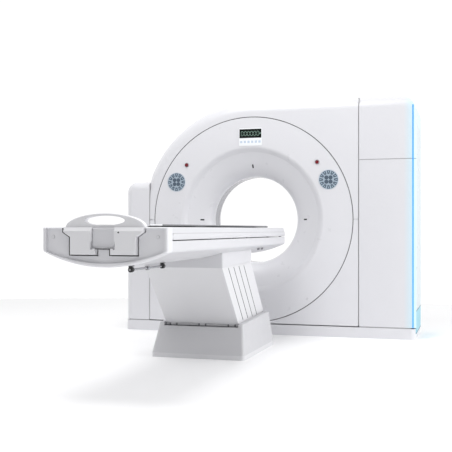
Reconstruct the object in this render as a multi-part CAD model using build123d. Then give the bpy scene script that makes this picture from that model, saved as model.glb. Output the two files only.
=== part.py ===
from build123d import *

import math
import os

# Computed tomography scanner: a tilting gantry between two floor stands, with its patient table.
# Millimetres. X runs to the right as seen from the table, Y into the bore, Z up.
# The origin is on the floor, straight below the isocentre of the gantry.

# Gantry, overall
COVER_GROUND = 100.0  # lowest point of the round cover above the floor
BORE_R = 350.0
FRONT_Y = -240.0  # front face, measured from the isocentre
GANTRY_DEPTH = 580.0
LEFT_SEAM_INSET = 80.5  # seam beside the left stand, in from the arc's radius
RIGHT_SEAM_INSET = 85.4  # seam beside the right column, in from the arc's radius
SIDE_SEAM = 8.0  # open joint between the housing and a stand
COVER_SEAM = 5.0  # open joint between two covers
ROLL_R = 95.0  # rolled front edge of the housing
REAR_ROLL_R = 60.0
WALL = 5.0  # wall of the gantry covers
COVER_BOTTOM = 90.0  # lower edge of the covers above the floor
SPLIT_Y = 60.0  # joint between front and rear covers

# Round front cover and funnels
RING_INSET = 132.0  # edge of the round cover, in from the arc's radius
RING_GAP = 7.0
RING_SHARE = 0.485  # flat ring, as a share of the way from its edge to the bore
SHOULDER_SHARE = 0.194  # soft shoulder, as a share of the funnel
SHOULDER_DEPTH = 30.0
REACH_SHARE = 0.31  # first pull of the funnel's curve towards the bore, as a share of the funnel
FUNNEL_DROP = 33.0  # the same, away from the front
FUNNEL_TURN = 95.0  # depth at which the funnel turns into the bore
TUNNEL_FRONT = 59.0  # front end of the narrow bore before the isocentre
TUNNEL_REAR = 60.0
LINER_WALL = 3.0
REAR_MOUTH = 170.0  # rear mouth's radius beyond the bore's
REAR_RING_INSET = 252.0  # edge of the rear round cover, in from the arc's radius

# Panels on the round cover
DISPLAY_WIDTH = 190.0
DISPLAY_GAP = 1.0  # display above the crease
DISPLAY_HEIGHT = 141.0
WINDOW_WIDTH = 182.0
WINDOW_HEIGHT = 72.0
WINDOW_DROP = 7.0  # display window below the bezel's top edge
PANEL_PROUD = 2.5
PANEL_SHARE = 0.491  # centres of panels and buttons, as a share of the way across the flat ring
CONTROL_ANGLE = 26.13  # above the horizontal, about the bore axis
CONTROL_R = 80.5
KEY_COUNT = 12
BUTTON_ANGLE = 39.64
BUTTON_R = 14.0
BUTTON_TRAVEL = 4.0
SWITCH_BOX = 36.0
SWITCH_DEPTH = 34.0
SWITCH_BORE = 20.0
LASER_SHARE = 0.343  # laser windows on the funnel, as a share of it from the bore
LASER_DEPTH = 78.5  # the same, behind the front
LASER_FALL = 129.8  # drop over the whole funnel at the slope that it has there
LASER_LENGTH = 32.0
LASER_WIDTH = 11.0
LASER_ANGLES = (0.0, 90.0, 180.0)

# Stands, column and plinth
STAND_WIDTH = 210.5
STAND_RISE = 316.0  # top of the left stand above the bore axis
STAND_ROLL_R = 62.0
COLUMN_WIDTH = 429.4
COLUMN_CORNER_R = 140.0
COLUMN_EDGE_R = 18.0  # rounded upright edge at the front
COLUMN_SEAM_RISE = 460.0  # seam of the column above the bore axis
STRIP_INSET = 27.0  # light strip, in from the column's outer side
STRIP_WIDTH = 10.0
STRIP_DEPTH = 5.0
STRIP_DROP = 82.0  # upper end of the strip below the gantry's top
SIDE_PANEL_START = 35.0  # side panels behind the front
SIDE_PANEL_END = 27.0
SIDE_PANEL_THICKNESS = 3.0
KICK_BOTTOM = 50.0
KICK_TOP = 213.0
PLINTH_HEIGHT = 82.0
PLINTH_INSET = 3.0
PLINTH_CORNER_R = 38.0
FLOOR_PLATE = 12.0

# Gantry inner works
TRUNNION_R = 70.0
TRUNNION_BORE_R = 40.0
TRUNNION_CLEARANCE = 20.0
BEARING_WALL = 20.0
BEARING_LENGTH = 50.0
STAND_FRAME_GAP = 19.5  # frame behind the inner wall of a stand's cover
STAND_FRAME_WIDTH = 100.0
STAND_FRAME_FRONT = -150.0
STAND_FRAME_REAR = 250.0
STAND_FRAME_RISE = 160.0  # top of the stand frames above the bore axis
STAND_FRAME_WALL = 10.0
FRAME_PLATE_Y = 170.0  # front face of the tilt frame's ring plate
FRAME_PLATE = 60.0
DRUM_WIDTH = 395.0  # rotor drum, from its bore to its edge
FRAME_SHARE = 0.349  # ring plate's bore, as a share of the drum's width from bore to edge
FRAME_GAP = 7.6  # ring plate inside the housing's wall
FRAME_RING = 10.0
FRAME_POST_R = 9.0
FRAME_POSTS = 8
FRAME_POST_INSET = 4.0  # posts in from the rim
CHEEK = 20.0
CHEEK_PROUD = 5.0  # cheek beyond the ring plate
CHEEK_HALF_HEIGHT = 220.0
ROTOR_GAP = 70.0  # drum inside the ring plate's edge
ROTOR_BORE = 35.0  # drum's bore beyond the patient bore
ROTOR_PLATE_Y = 95.0
ROTOR_PLATE = 25.0
ROTOR_RIM = 15.0
ROTOR_FRONT_Y = -165.0
WEIGHT_ANGLES = (12, 140)
TUBE_RISE = 215.0  # x-ray tube's axis, out from the drum's bore
UNIT_INSET = 50.0  # boxes on the drum, in from its edge
RACE_SHARE = 0.209  # running radius of the main bearing, as the same share
RACE_GAP = 0.3
MAGNET_SHARE = 0.628  # magnet ring, as the same share
SLIP_RING_INSET = 30.0  # slip ring, in from the drum's edge
SLIP_RING_WIDTH = 50.0
SLIP_RING_DEPTH = 20.0

# Patient table, frame and cradle
TABLE_HALF = 333.0
FOOT_Y = -2982.0
BODY_END_Y = -455.0
BODY_TOP = 784.0
BODY_CORNER_Z = 731.0
BELLY_Z = 654.0
BODY_WALL = 5.0
RAIL_BOTTOM = 789.0
RAIL_CREASE = 821.0
RAIL_TOP = 852.0
CRADLE_GAP = 4.0  # cradle to side cover
RAIL_WALL = 4.0
CRADLE_HALF = 212.0
CRADLE_EDGE_Z = 867.0
CRADLE_DIP = 30.0
CRADLE_THICKNESS = 24.0
CRADLE_HEAD_Y = -400.0
CRADLE_TAPER = 160.0
CRADLE_NOSE_HALF = 185.0
CRADLE_TRAVEL = 1500.0

# Foot end
END_RIM = 20.0
END_DEPTH = 67.0
END_RECESS = 12.0  # face behind the rim
END_ROLL = 11.0
END_PLATE_THICKNESS = 8.0
HANDLE_TOP = 921.0
HANDLE_SHOULDER_Z = 851.0
HANDLE_WAIST_Z = 803.0
HANDLE_WAIST = 37.0  # waist of the handle panel, in from its shoulders
HANDLE_BOTTOM = 716.0
HANDLE_NOTCH_HALF = 40.0
HANDLE_NOTCH_TOP = 748.0
HANDLE_PROUD = 16.0  # lower face of the handle panel before the rim
HANDLE_REAR = 77.0  # back of the handle panel behind the rim's front
ARCH_STEP = 25.0  # arch behind the lower face
ARCH_DEPTH = 40.0
SCREW_X = 279.0
SCREW_Z = 804.0
SCREW_R = 8.0
HANDLE_GAP = 6.0
SLOT_HALF = 108.0
SLOT_BOTTOM = 861.0
SLOT_TOP = 908.0
LEVER_HALF = 58.0
LEVER_TOP = 852.0
LEVER_BOTTOM = 756.0
LEVER_THICKNESS = 6.0
LEVER_RECESS = 26.0
LEVER_GAP = 3.0

# Lifting pedestal
LIFT_ANGLE = 46.5  # links above the horizontal with the table at the top
LINK = 550.0  # pivot to pivot, the same for every link
HINGE_Y = -1456.0
HINGE_Z = 210.0
SLAT_PITCH = 127.0
SLATS = 3
SLAT_OVERLAP = 8.0
SLAT_SHEET = 1.5
SLAT_NEST = 2.0  # each slat is this much further in than the one before
GROOVE_HALF = 4.35
GROOVE_INSET = 8.0  # groove's centre before the next slat's edge
GROOVE_RISE = 28.0  # lower end of a groove above the hinge
GROOVE_DROP = 12.0  # upper end of a groove below the upper pivots
PANEL_HALF = 253.0
REAR_PANEL_WIDTH = 195.0
REAR_WEB_OFFSET = 77.0  # cross sheet of the rear panel behind its pivots
REAR_PANEL_GAP = 8.0  # rear panel before the rear wall of the base
PANEL_THICKNESS = 10.0
LINK_PIN_R = 5.0
PIN_CLEARANCE = 0.5
KNUCKLE_INSET = 50.0  # outer knuckles in from the panel's edge
KNUCKLE_R = 9.0
KNUCKLE_LENGTH = 34.0
HINGE_ROD_R = 4.0
BEARER = 12.0
BEARER_INSET = 41.0  # bearer plates inside the panel
SHAFT_R = 14.0
SHAFT_CLEARANCE = 0.3
FRONT_ARM_BACK = 176.0  # front arm's pivot behind the hinge
FRONT_ARM_Z = 232.0
REAR_ARM_BACK = 476.0
REAR_ARM_Z = 232.0
ARM_HEIGHT = 40.0
ARM_EYE_R = 26.0
ARM_WIDTH = 30.0
ARM_GAP = 20.0  # bearer plate to front arm, and front arm to rear arm
ARM_TUBE_R = 18.0
ARM_HOLE_R = 10.0  # lightening holes
BEARER_EYE = 14.0  # metal of a bearer plate round a shaft

# Pedestal base
BASE_FOOT_WIDTH = 65.0  # foot of the base beyond the panel, at each side
BASE_TOP_WIDTH = 37.0
BASE_FRONT = 116.0  # foot of the base before the hinge
BASE_REAR = 692.0  # foot of the base behind the hinge
BASE_TOP_FRONT = 26.0  # top of the base before the hinge
BASE_TOP_REAR = 665.0
BASE_TOE = 28.0
BASE_CHEEK_FRONT_Z = 225.0
BASE_CHEEK_REAR_Z = 242.0
BASE_LIP_Z = 200.0
BASE_OPENING_GAP = 4.0
BASE_WALL = 5.0
BASE_PLATE = 12.0
WELL_INSET = 12.0  # rear end of the base's well before the top's rear edge

# Lift head and table frame
HEAD_OVERHANG = 6.0  # head beyond the panel, at each side
HEAD_WALL = 4.0
HEAD_FRONT = 10.4  # head before the foot panel's upper edge
HEAD_LENGTH = 669.0
HEAD_FRONT_Z = 604.0
HEAD_REAR_Z = 622.0
HEAD_PLATE_Z = 700.0
HEAD_PLATE = 12.0
HEAD_GAP = 3.0  # opening in the body round the head
BELLY_SLIT = 8.0  # slits in the belly for the rear panel's flanges
BELLY_SLIT_BACK = 511.0  # rear end of the slits behind the hinge
BEAM_WIDTH = 28.0
BEAM_INSET = 3.0  # beams inside the panel
BEAM_BOTTOM = 730.0
BEAM_TOP = 768.0
GUIDE_HEIGHT = 12.0
CARRIAGE_PLATE = 10.0
RUNNING_GAP = 0.3

# Accessory rail below the foot end
ROD_X = 125.0
ROD_Z = 644.0
ROD_R = 6.0
ROD_FRONT_Y = -2952.0
ROD_REAR_Y = -2500.0

# Worked out from the sizes above
LINK_Y = -LINK * math.cos(math.radians(LIFT_ANGLE))
LINK_Z = LINK * math.sin(math.radians(LIFT_ANGLE))
ROTOR_HUB_R = BORE_R + ROTOR_BORE
ROTOR_R = ROTOR_HUB_R + DRUM_WIDTH
FRAME_OUTER_R = ROTOR_R + ROTOR_GAP
RIGHT_X = FRAME_OUTER_R + FRAME_GAP + WALL
HOUSING_RIGHT = RIGHT_X + SIDE_SEAM / 2  # bore axis to the seam beside the right column
ARC_R = HOUSING_RIGHT + RIGHT_SEAM_INSET  # outer arc of the tilting housing, about the bore axis
RING_R = ARC_R - RING_INSET
AXIS_Z = RING_R + COVER_GROUND  # height of the bore axis above the floor
REAR_Y = FRONT_Y + GANTRY_DEPTH
TOP_Z = AXIS_Z + ARC_R
HOUSING_LEFT = ARC_R - LEFT_SEAM_INSET  # bore axis to the seam beside the left stand
CREASE_R = RING_R - RING_SHARE * (RING_R - BORE_R)
FUNNEL = CREASE_R - BORE_R
REAR_RING_R = ARC_R - REAR_RING_INSET
DISPLAY_BOTTOM = AXIS_Z + CREASE_R + DISPLAY_GAP
PANELS_R = CREASE_R + PANEL_SHARE * (RING_R - CREASE_R)
CONTROL_X = PANELS_R * math.cos(math.radians(CONTROL_ANGLE))
CONTROL_Z = AXIS_Z + PANELS_R * math.sin(math.radians(CONTROL_ANGLE))
BUTTON_X = PANELS_R * math.cos(math.radians(BUTTON_ANGLE))
BUTTON_Z = AXIS_Z + PANELS_R * math.sin(math.radians(BUTTON_ANGLE))
LEFT_X = -HOUSING_LEFT + SIDE_SEAM / 2
STAND_FACE_X = -HOUSING_LEFT - SIDE_SEAM / 2
COLUMN_FACE_X = HOUSING_RIGHT + SIDE_SEAM / 2
STAND_LEFT_X = STAND_FACE_X - STAND_WIDTH
STAND_TOP = AXIS_Z + STAND_RISE
COLUMN_RIGHT_X = COLUMN_FACE_X + COLUMN_WIDTH
COLUMN_SEAM_Z = AXIS_Z + COLUMN_SEAM_RISE
STRIP_TOP = TOP_Z - STRIP_DROP
STAND_FRAME_TOP = AXIS_Z + STAND_FRAME_RISE
STAND_FRAME_INNER = WALL + STAND_FRAME_GAP - STAND_FACE_X
TRUNNION_END = STAND_FRAME_INNER + STAND_FRAME_WIDTH
CHEEK_OUTER = FRAME_OUTER_R + CHEEK_PROUD
FRAME_INNER_R = BORE_R + FRAME_SHARE * (ROTOR_R - BORE_R)
RACE_R = BORE_R + RACE_SHARE * (ROTOR_R - BORE_R)
MAGNET_R = BORE_R + MAGNET_SHARE * (ROTOR_R - BORE_R)
SLIP_RING_R = ROTOR_R - SLIP_RING_INSET
FRONT_ARM_Y = HINGE_Y + FRONT_ARM_BACK
REAR_ARM_Y = HINGE_Y + REAR_ARM_BACK
BASE_FRONT_Y = HINGE_Y - BASE_FRONT
BASE_REAR_Y = HINGE_Y + BASE_REAR
BASE_TOP_FRONT_Y = HINGE_Y - BASE_TOP_FRONT
BASE_TOP_REAR_Y = HINGE_Y + BASE_TOP_REAR
WELL_REAR = BASE_TOP_REAR_Y - WELL_INSET
HEAD_FRONT_Y = HINGE_Y + LINK_Y - HEAD_FRONT
HEAD_REAR_Y = HEAD_FRONT_Y + HEAD_LENGTH
BELLY_SLIT_END = HINGE_Y + BELLY_SLIT_BACK
RAIL_INNER = CRADLE_HALF + CRADLE_GAP
HANDLE_WAIST_HALF = CRADLE_HALF - HANDLE_WAIST
KNUCKLE_X = PANEL_HALF - KNUCKLE_INSET
BEARER_OUTER = PANEL_HALF - BEARER_INSET
BEARER_INNER = BEARER_OUTER - BEARER
FRONT_ARM_OUTER = BEARER_INNER - ARM_GAP
FRONT_ARM_INNER = FRONT_ARM_OUTER - ARM_WIDTH
REAR_ARM_OUTER = FRONT_ARM_INNER - ARM_GAP
REAR_ARM_INNER = REAR_ARM_OUTER - ARM_WIDTH
BASE_HALF = PANEL_HALF + BASE_FOOT_WIDTH
BASE_TOP_HALF = PANEL_HALF + BASE_TOP_WIDTH
BASE_OPENING_HALF = PANEL_HALF + BASE_OPENING_GAP
HEAD_HALF = PANEL_HALF + HEAD_OVERHANG
BEAM_OUTER = PANEL_HALF - BEAM_INSET
BEAM_INNER = BEAM_OUTER - BEAM_WIDTH
BORE_AXIS = Axis((0, 0, AXIS_Z), (0, 1, 0))
FAR = 3000.0  # reach of cutting blocks, beyond any piece

parts = {}


# Shape helpers


def block(x0, x1, y0, y1, z0, z1):
    """Upright block between two opposite corners."""
    return Pos((x0 + x1) / 2, (y0 + y1) / 2, (z0 + z1) / 2) * Box(x1 - x0, y1 - y0, z1 - z0)


def rod_x(x0, x1, y, z, radius):
    """Round bar along X."""
    return Pos((x0 + x1) / 2, y, z) * Rot(0, 90, 0) * Cylinder(radius, x1 - x0)


def rod_y(y0, y1, x, z, radius):
    """Round bar along Y."""
    return Pos(x, (y0 + y1) / 2, z) * Rot(90, 0, 0) * Cylinder(radius, y1 - y0)


def rod_z(z0, z1, x, y, radius):
    """Round bar along Z."""
    return Pos(x, y, (z0 + z1) / 2) * Cylinder(radius, z1 - z0)


def ring(inner, outer, y0, y1):
    """Ring about the bore axis."""
    return rod_y(y0, y1, 0, AXIS_Z, outer) - rod_y(y0 - 1, y1 + 1, 0, AXIS_Z, inner)


def slab_y(outline, y0, y1):
    """Outline drawn in X and Z, carried from y0 to y1."""
    plane = Plane(origin=(0, y0, 0), x_dir=(1, 0, 0), z_dir=(0, -1, 0))
    return extrude(plane * outline, amount=-(y1 - y0))


def slab_x(outline, x0, x1):
    """Outline drawn in Y and Z, carried from x0 to x1."""
    plane = Plane(origin=(x0, 0, 0), x_dir=(0, 1, 0), z_dir=(1, 0, 0))
    return extrude(plane * outline, amount=x1 - x0)


def turned(outline):
    """Outline drawn in radius and Y, turned about the bore axis."""
    return revolve(Pos(0, 0, AXIS_Z) * outline, axis=BORE_AXIS)


def polygon(*points):
    """Face inside a closed row of corners."""
    return make_face(Polyline(*points, close=True))


def mirrored(shape):
    """The same piece on the other side of the bore axis."""
    return mirror(shape, about=Plane.YZ)


def pair(shape):
    """A piece and its mirror image, as separate solids."""
    return Compound(children=[shape, mirrored(shape)])


def around_bore(shape, degrees):
    """A piece turned about the bore axis."""
    return Pos(0, 0, AXIS_Z) * Rot(0, -degrees, 0) * Pos(0, 0, -AXIS_Z) * shape


# Tilting housing


def housing_hull(inset):
    """Outer form of the tilting housing, drawn in by a wall."""
    arc_r = ARC_R - inset
    low = -BORE_R
    far = HOUSING_RIGHT + ARC_R
    diagonal = arc_r * math.sqrt(0.5)
    outline = make_face(
        Polyline((-arc_r, low), (-arc_r, AXIS_Z))
        + ThreePointArc((-arc_r, AXIS_Z), (-diagonal, AXIS_Z + diagonal), (0, AXIS_Z + arc_r))
        + Polyline((0, AXIS_Z + arc_r), (far, AXIS_Z + arc_r), (far, low), (-arc_r, low))
    )
    hull = slab_y(outline, FRONT_Y + inset, REAR_Y - inset)
    for group, radius in ((0, ROLL_R), (-1, REAR_ROLL_R)):
        face = hull.faces().sort_by(Axis.Y)[group]
        edges = [e for e in face.edges() if e.center().X < far - 1 and e.center().Z > low + 1]
        hull = fillet(edges, radius - inset)
    limits = block(
        LEFT_X + inset, RIGHT_X - inset, FRONT_Y - 1, REAR_Y + 1, COVER_BOTTOM + inset, TOP_Z + 1
    )
    return hull & limits


def housing_shell():
    """Hollow housing with its front and rear openings and the trunnion holes."""
    shell = housing_hull(0) - housing_hull(WALL)
    shell -= rod_y(FRONT_Y - 1, FRONT_Y + WALL + 1, 0, AXIS_Z, RING_R + RING_GAP)
    shell -= rod_y(REAR_Y - WALL - 1, REAR_Y + 1, 0, AXIS_Z, REAR_RING_R + RING_GAP)
    shell -= rod_x(-FAR, FAR, 0, AXIS_Z, TRUNNION_R + TRUNNION_CLEARANCE)
    return shell


def housing_covers():
    """Upper and lower covers, front and rear."""
    shell = housing_shell()
    half = COVER_SEAM / 2
    bands = {"upper": (AXIS_Z + half, FAR), "lower": (0, AXIS_Z - half)}
    sides = {"front": (-FAR, SPLIT_Y - half), "rear": (SPLIT_Y + half, FAR)}
    covers = {}
    for level, (z0, z1) in bands.items():
        for side, (y0, y1) in sides.items():
            covers[f"{level}_{side}_cover"] = shell & block(-FAR, FAR, y0, y1, z0, z1)
    rear = [covers.pop("upper_rear_cover"), covers.pop("lower_rear_cover")]
    parts.update(covers)
    parts["rear_covers"] = Compound(children=rear)


def funnel_outline(wall):
    """Area behind the round cover's skin, in radius and Y, drawn back by a wall."""
    front = FRONT_Y + wall
    end_r = BORE_R + wall
    shoulder_width = SHOULDER_SHARE * FUNNEL
    shoulder_r = CREASE_R - shoulder_width + wall * 0.5
    shoulder_y = FRONT_Y + SHOULDER_DEPTH + wall * 0.87
    shoulder = (shoulder_r, shoulder_y)
    throat = (end_r, -TUNNEL_FRONT)
    reach = (shoulder_r - REACH_SHARE * FUNNEL, shoulder_y + FUNNEL_DROP)
    turn = (end_r, FRONT_Y + FUNNEL_TURN + wall * 0.3)
    return make_face(
        Polyline((RING_R, -TUNNEL_FRONT), (RING_R, front), (CREASE_R, front))
        + Bezier((CREASE_R, front), (CREASE_R - shoulder_width * 0.43, front),
                 (shoulder_r + shoulder_width * 0.28, shoulder_y - 10), shoulder)
        + Bezier(shoulder, reach, turn, throat)
        + Polyline(throat, (RING_R, -TUNNEL_FRONT))
    )


def laser_slot(angle, grow):
    """Block across the funnel's wall where a laser window sits."""
    across = Box(LASER_LENGTH + grow, 60 if grow else WALL, LASER_WIDTH + grow)
    lean = math.degrees(math.atan2(LASER_FALL, FUNNEL))
    at_r = BORE_R + LASER_SHARE * FUNNEL
    surface = Pos(at_r, FRONT_Y + LASER_DEPTH, AXIS_Z) * Rot(0, 0, -lean)
    return around_bore(surface * Pos(0, WALL / 2, 0) * across, angle)


def switch_box(x):
    """Box behind the round cover that the stop button's stem runs into."""
    half = SWITCH_BOX / 2
    back = FRONT_Y + WALL
    box = block(x - half, x + half, back, back + SWITCH_DEPTH, BUTTON_Z - half, BUTTON_Z + half)
    return box - rod_y(FRONT_Y, back + SWITCH_BORE, x, BUTTON_Z, BUTTON_R / 2 + 1)


def front_round_cover():
    """Round front cover: flat ring and funnel in one moulding."""
    cover = turned(funnel_outline(0)) - turned(funnel_outline(WALL))
    half_w = DISPLAY_WIDTH / 2 - WALL
    z0 = DISPLAY_BOTTOM + WALL
    z1 = DISPLAY_BOTTOM + DISPLAY_HEIGHT - WALL
    cover -= block(-half_w, half_w, FRONT_Y - 1, FRONT_Y + WALL + 1, z0, z1)
    for side in (-1, 1):
        x = side * CONTROL_X
        cover -= rod_y(FRONT_Y - 1, FRONT_Y + WALL + 1, x, CONTROL_Z, CONTROL_R - WALL)
        x = side * BUTTON_X
        cover -= rod_y(FRONT_Y - 1, FRONT_Y + WALL + 1, x, BUTTON_Z, BUTTON_R / 2 + 1)
    for angle in LASER_ANGLES:
        cover -= laser_slot(angle, 1.0)
    box = switch_box(BUTTON_X)
    parts["front_round_cover"] = cover + box + mirrored(box)


def laser_windows():
    """Three windows for the positioning lasers."""
    slots = [laser_slot(angle, 0) for angle in LASER_ANGLES]
    parts["laser_windows"] = Compound(children=slots)


def rear_funnel_outline(wall):
    """Area behind the rear funnel's skin, in radius and Y."""
    rear = REAR_Y - wall
    end_r = BORE_R + wall
    mouth_r = BORE_R + REAR_MOUTH + wall
    return make_face(
        Polyline((end_r, TUNNEL_REAR), (REAR_RING_R, TUNNEL_REAR), (REAR_RING_R, rear))
        + Polyline((REAR_RING_R, rear), (mouth_r, rear))
        + Bezier((mouth_r, rear), (mouth_r - 60, rear - 20), (end_r, TUNNEL_REAR + 90),
                 (end_r, TUNNEL_REAR))
    )


def rear_funnel():
    """Rear mouth of the bore."""
    parts["rear_round_cover"] = turned(rear_funnel_outline(0)) - turned(rear_funnel_outline(WALL))


def bore_liner():
    """Thin window ring between the two funnels, where the beam passes."""
    parts["bore_liner"] = ring(BORE_R, BORE_R + LINER_WALL, -TUNNEL_FRONT, TUNNEL_REAR)


def display():
    """Display bezel with its window and a row of touch marks."""
    half = DISPLAY_WIDTH / 2
    top = DISPLAY_BOTTOM + DISPLAY_HEIGHT
    front = FRONT_Y - PANEL_PROUD
    bezel = block(-half, half, front, FRONT_Y, DISPLAY_BOTTOM, top)
    bezel = fillet(bezel.edges().filter_by(Axis.Y), 6)
    inner = half - WALL - 1
    bezel += block(-inner, inner, FRONT_Y, FRONT_Y + 12, DISPLAY_BOTTOM + WALL + 1, top - WALL - 1)
    window_top = top - WINDOW_DROP
    glass_half = WINDOW_WIDTH / 2
    glass = block(
        -glass_half, glass_half, front, front + 2, window_top - WINDOW_HEIGHT, window_top
    )
    bezel -= glass
    pitch = WINDOW_WIDTH / 6
    mark_z = DISPLAY_BOTTOM + (DISPLAY_HEIGHT - WINDOW_HEIGHT - WINDOW_DROP) / 2
    for i in range(6):
        x = (i - 2.5) * pitch
        bezel += block(x - 9, x + 9, front - 0.6, front, mark_z - 9, mark_z + 9)
    parts["display_bezel"] = bezel
    parts["display_window"] = glass


def control_panel(x):
    """Round membrane panel: raised rim, a ring of keys and a pad of four."""
    front = FRONT_Y - PANEL_PROUD
    disc = rod_y(front, FRONT_Y, x, CONTROL_Z, CONTROL_R)
    disc += rod_y(FRONT_Y, FRONT_Y + 14, x, CONTROL_Z, CONTROL_R - WALL - 1)
    dish = rod_y(front - 1, front + 1, x, CONTROL_Z, CONTROL_R - 4)
    disc -= dish
    face = front + 1
    for i in range(KEY_COUNT):
        turn = i * 360 / KEY_COUNT
        key = Pos(x, face - 0.5, CONTROL_Z) * Rot(0, -turn, 0) * Pos(CONTROL_R * 0.73, 0, 0)
        disc += key * Box(CONTROL_R * 0.27, 1, CONTROL_R * 0.2)
    petal_r = CONTROL_R * 0.17
    for i in range(4):
        turn = 45 + i * 90
        petal = Pos(x, face - 0.5, CONTROL_Z) * Rot(0, -turn, 0) * Pos(CONTROL_R * 0.3, 0, 0)
        disc += petal * Rot(90, 0, 0) * Cylinder(petal_r, 1)
    return disc


def control_panels():
    """Left and right control panels."""
    parts["control_panels"] = Compound(children=[control_panel(-CONTROL_X), control_panel(CONTROL_X)])


def stop_button(x):
    """Domed stop button on a stem that runs through the round cover."""
    front = FRONT_Y - BUTTON_TRAVEL - 1
    head = rod_y(front - 5, front, x, BUTTON_Z, BUTTON_R)
    head = fillet(head.edges().sort_by(Axis.Y)[0], 3)
    return head + rod_y(front, FRONT_Y + WALL + 12, x, BUTTON_Z, BUTTON_R / 2)


def stop_buttons():
    """Stop buttons beside the display."""
    for name, side in (("left", -1), ("right", 1)):
        parts[f"{name}_stop_button"] = stop_button(side * BUTTON_X)


# Tilt frame and rotor


def motor_stator():
    """Stator ring of the rotor's motor, on the front of the ring plate."""
    back = ROTOR_PLATE_Y + ROTOR_PLATE
    return ring(MAGNET_R - 45, MAGNET_R - RACE_GAP, back + 10, FRAME_PLATE_Y)


def brush_block():
    """Block that carries the brushes of the slip ring."""
    front = ROTOR_PLATE_Y + ROTOR_PLATE + SLIP_RING_DEPTH + RACE_GAP
    brush = block(
        SLIP_RING_R - SLIP_RING_WIDTH, SLIP_RING_R, front, FRAME_PLATE_Y, AXIS_Z - 60, AXIS_Z + 60
    )
    return around_bore(brush, 200)


def tilt_frame():
    """Ring plate with cover rings, posts, cheeks, trunnions, motor stator and brush block."""
    frame = ring(FRAME_INNER_R, FRAME_OUTER_R, FRAME_PLATE_Y, FRAME_PLATE_Y + FRAME_PLATE)
    front = FRONT_Y + WALL
    rear = REAR_Y - WALL
    frame += ring(RING_R - 20, FRAME_OUTER_R, front, front + FRAME_RING)
    frame += ring(REAR_RING_R - 40, FRAME_OUTER_R, rear - FRAME_RING, rear)
    post_r = FRAME_OUTER_R - FRAME_POST_R - FRAME_POST_INSET
    post = rod_y(front, rear, post_r, AXIS_Z, FRAME_POST_R)
    for i in range(FRAME_POSTS):
        frame += around_bore(post, (i + 0.5) * 360 / FRAME_POSTS)
    cheek_inner = CHEEK_OUTER - CHEEK
    cheek = block(
        cheek_inner, CHEEK_OUTER, FRONT_Y + ROLL_R / 2, rear,
        AXIS_Z - CHEEK_HALF_HEIGHT, AXIS_Z + CHEEK_HALF_HEIGHT,
    )
    trunnion = rod_x(cheek_inner, TRUNNION_END, 0, AXIS_Z, TRUNNION_R)
    frame += cheek + mirrored(cheek) + trunnion + mirrored(trunnion)
    frame -= rod_x(-FAR, FAR, 0, AXIS_Z, TRUNNION_BORE_R)
    frame += motor_stator() + brush_block()
    frame &= block(-FAR, FAR, -FAR, FAR, COVER_BOTTOM + WALL, FAR)
    parts["tilt_frame"] = frame


def main_bearing():
    """Inner and outer race of the rotor's bearing."""
    back = ROTOR_PLATE_Y + ROTOR_PLATE
    inner = ring(RACE_R - 25, RACE_R, back, FRAME_PLATE_Y - 10)
    outer = ring(RACE_R + RACE_GAP, FRAME_INNER_R + 20, back + 5, FRAME_PLATE_Y)
    parts["bearing_inner_race"] = inner
    parts["bearing_outer_race"] = outer


def magnet_ring():
    """Ring of magnets on the back of the drum."""
    back = ROTOR_PLATE_Y + ROTOR_PLATE
    return ring(MAGNET_R, MAGNET_R + 20, back, FRAME_PLATE_Y - 10)


def rotor_drum():
    """Turned drum with hub, rim, lightening holes, magnet ring, slip ring and counterweights."""
    back = ROTOR_PLATE_Y + ROTOR_PLATE
    drum = ring(ROTOR_HUB_R, ROTOR_R, ROTOR_PLATE_Y, back)
    drum += ring(ROTOR_R - ROTOR_RIM, ROTOR_R, ROTOR_FRONT_Y, ROTOR_PLATE_Y)
    drum += ring(ROTOR_HUB_R, RACE_R - 25, back, FRAME_PLATE_Y - 10)
    hole = rod_y(ROTOR_PLATE_Y - 1, back + 1, (RACE_R + ROTOR_R) / 2 - 60, AXIS_Z, 26)
    for i in range(16):
        drum -= around_bore(hole, (i + 0.5) * 360 / 16)
    drum += magnet_ring() + slip_ring()
    weight_r = ROTOR_R - 40
    weight = block(weight_r - 120, weight_r, -40, ROTOR_PLATE_Y, AXIS_Z - 45, AXIS_Z + 45)
    for angle in WEIGHT_ANGLES:
        drum += around_bore(weight, angle)
    parts["rotor_drum"] = drum


def slip_ring():
    """Grooved slip ring on the back of the drum."""
    back = ROTOR_PLATE_Y + ROTOR_PLATE
    face = back + SLIP_RING_DEPTH
    outer = ring(SLIP_RING_R - SLIP_RING_WIDTH, SLIP_RING_R, back, face)
    for i in range(4):
        groove = SLIP_RING_R - SLIP_RING_WIDTH + 6 + i * 12
        outer -= ring(groove, groove + 5, face - 4, face + 1)
    return outer


def xray_tube():
    """Tube housing across the drum, with end caps, and its collimator below."""
    centre = AXIS_Z + ROTOR_HUB_R + TUBE_RISE
    tube = rod_y(-110, ROTOR_PLATE_Y - 25, 0, centre, 85)
    tube += rod_y(ROTOR_PLATE_Y - 25, ROTOR_PLATE_Y, 0, centre, 95)
    tube += rod_y(-128, -110, 0, centre, 60)
    tube += block(-40, 40, -38, 38, centre - 98, centre - 60)
    parts["xray_tube"] = tube
    top = centre - 98
    collimator = block(-110, 110, -36, ROTOR_PLATE_Y, top - 55, top)
    low = AXIS_Z + ROTOR_HUB_R + 2
    collimator += block(-70, 70, -36, 36, low, top - 55)
    collimator -= block(-60, 60, -8, 8, low - 1, top + 1)
    parts["collimator"] = collimator


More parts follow.
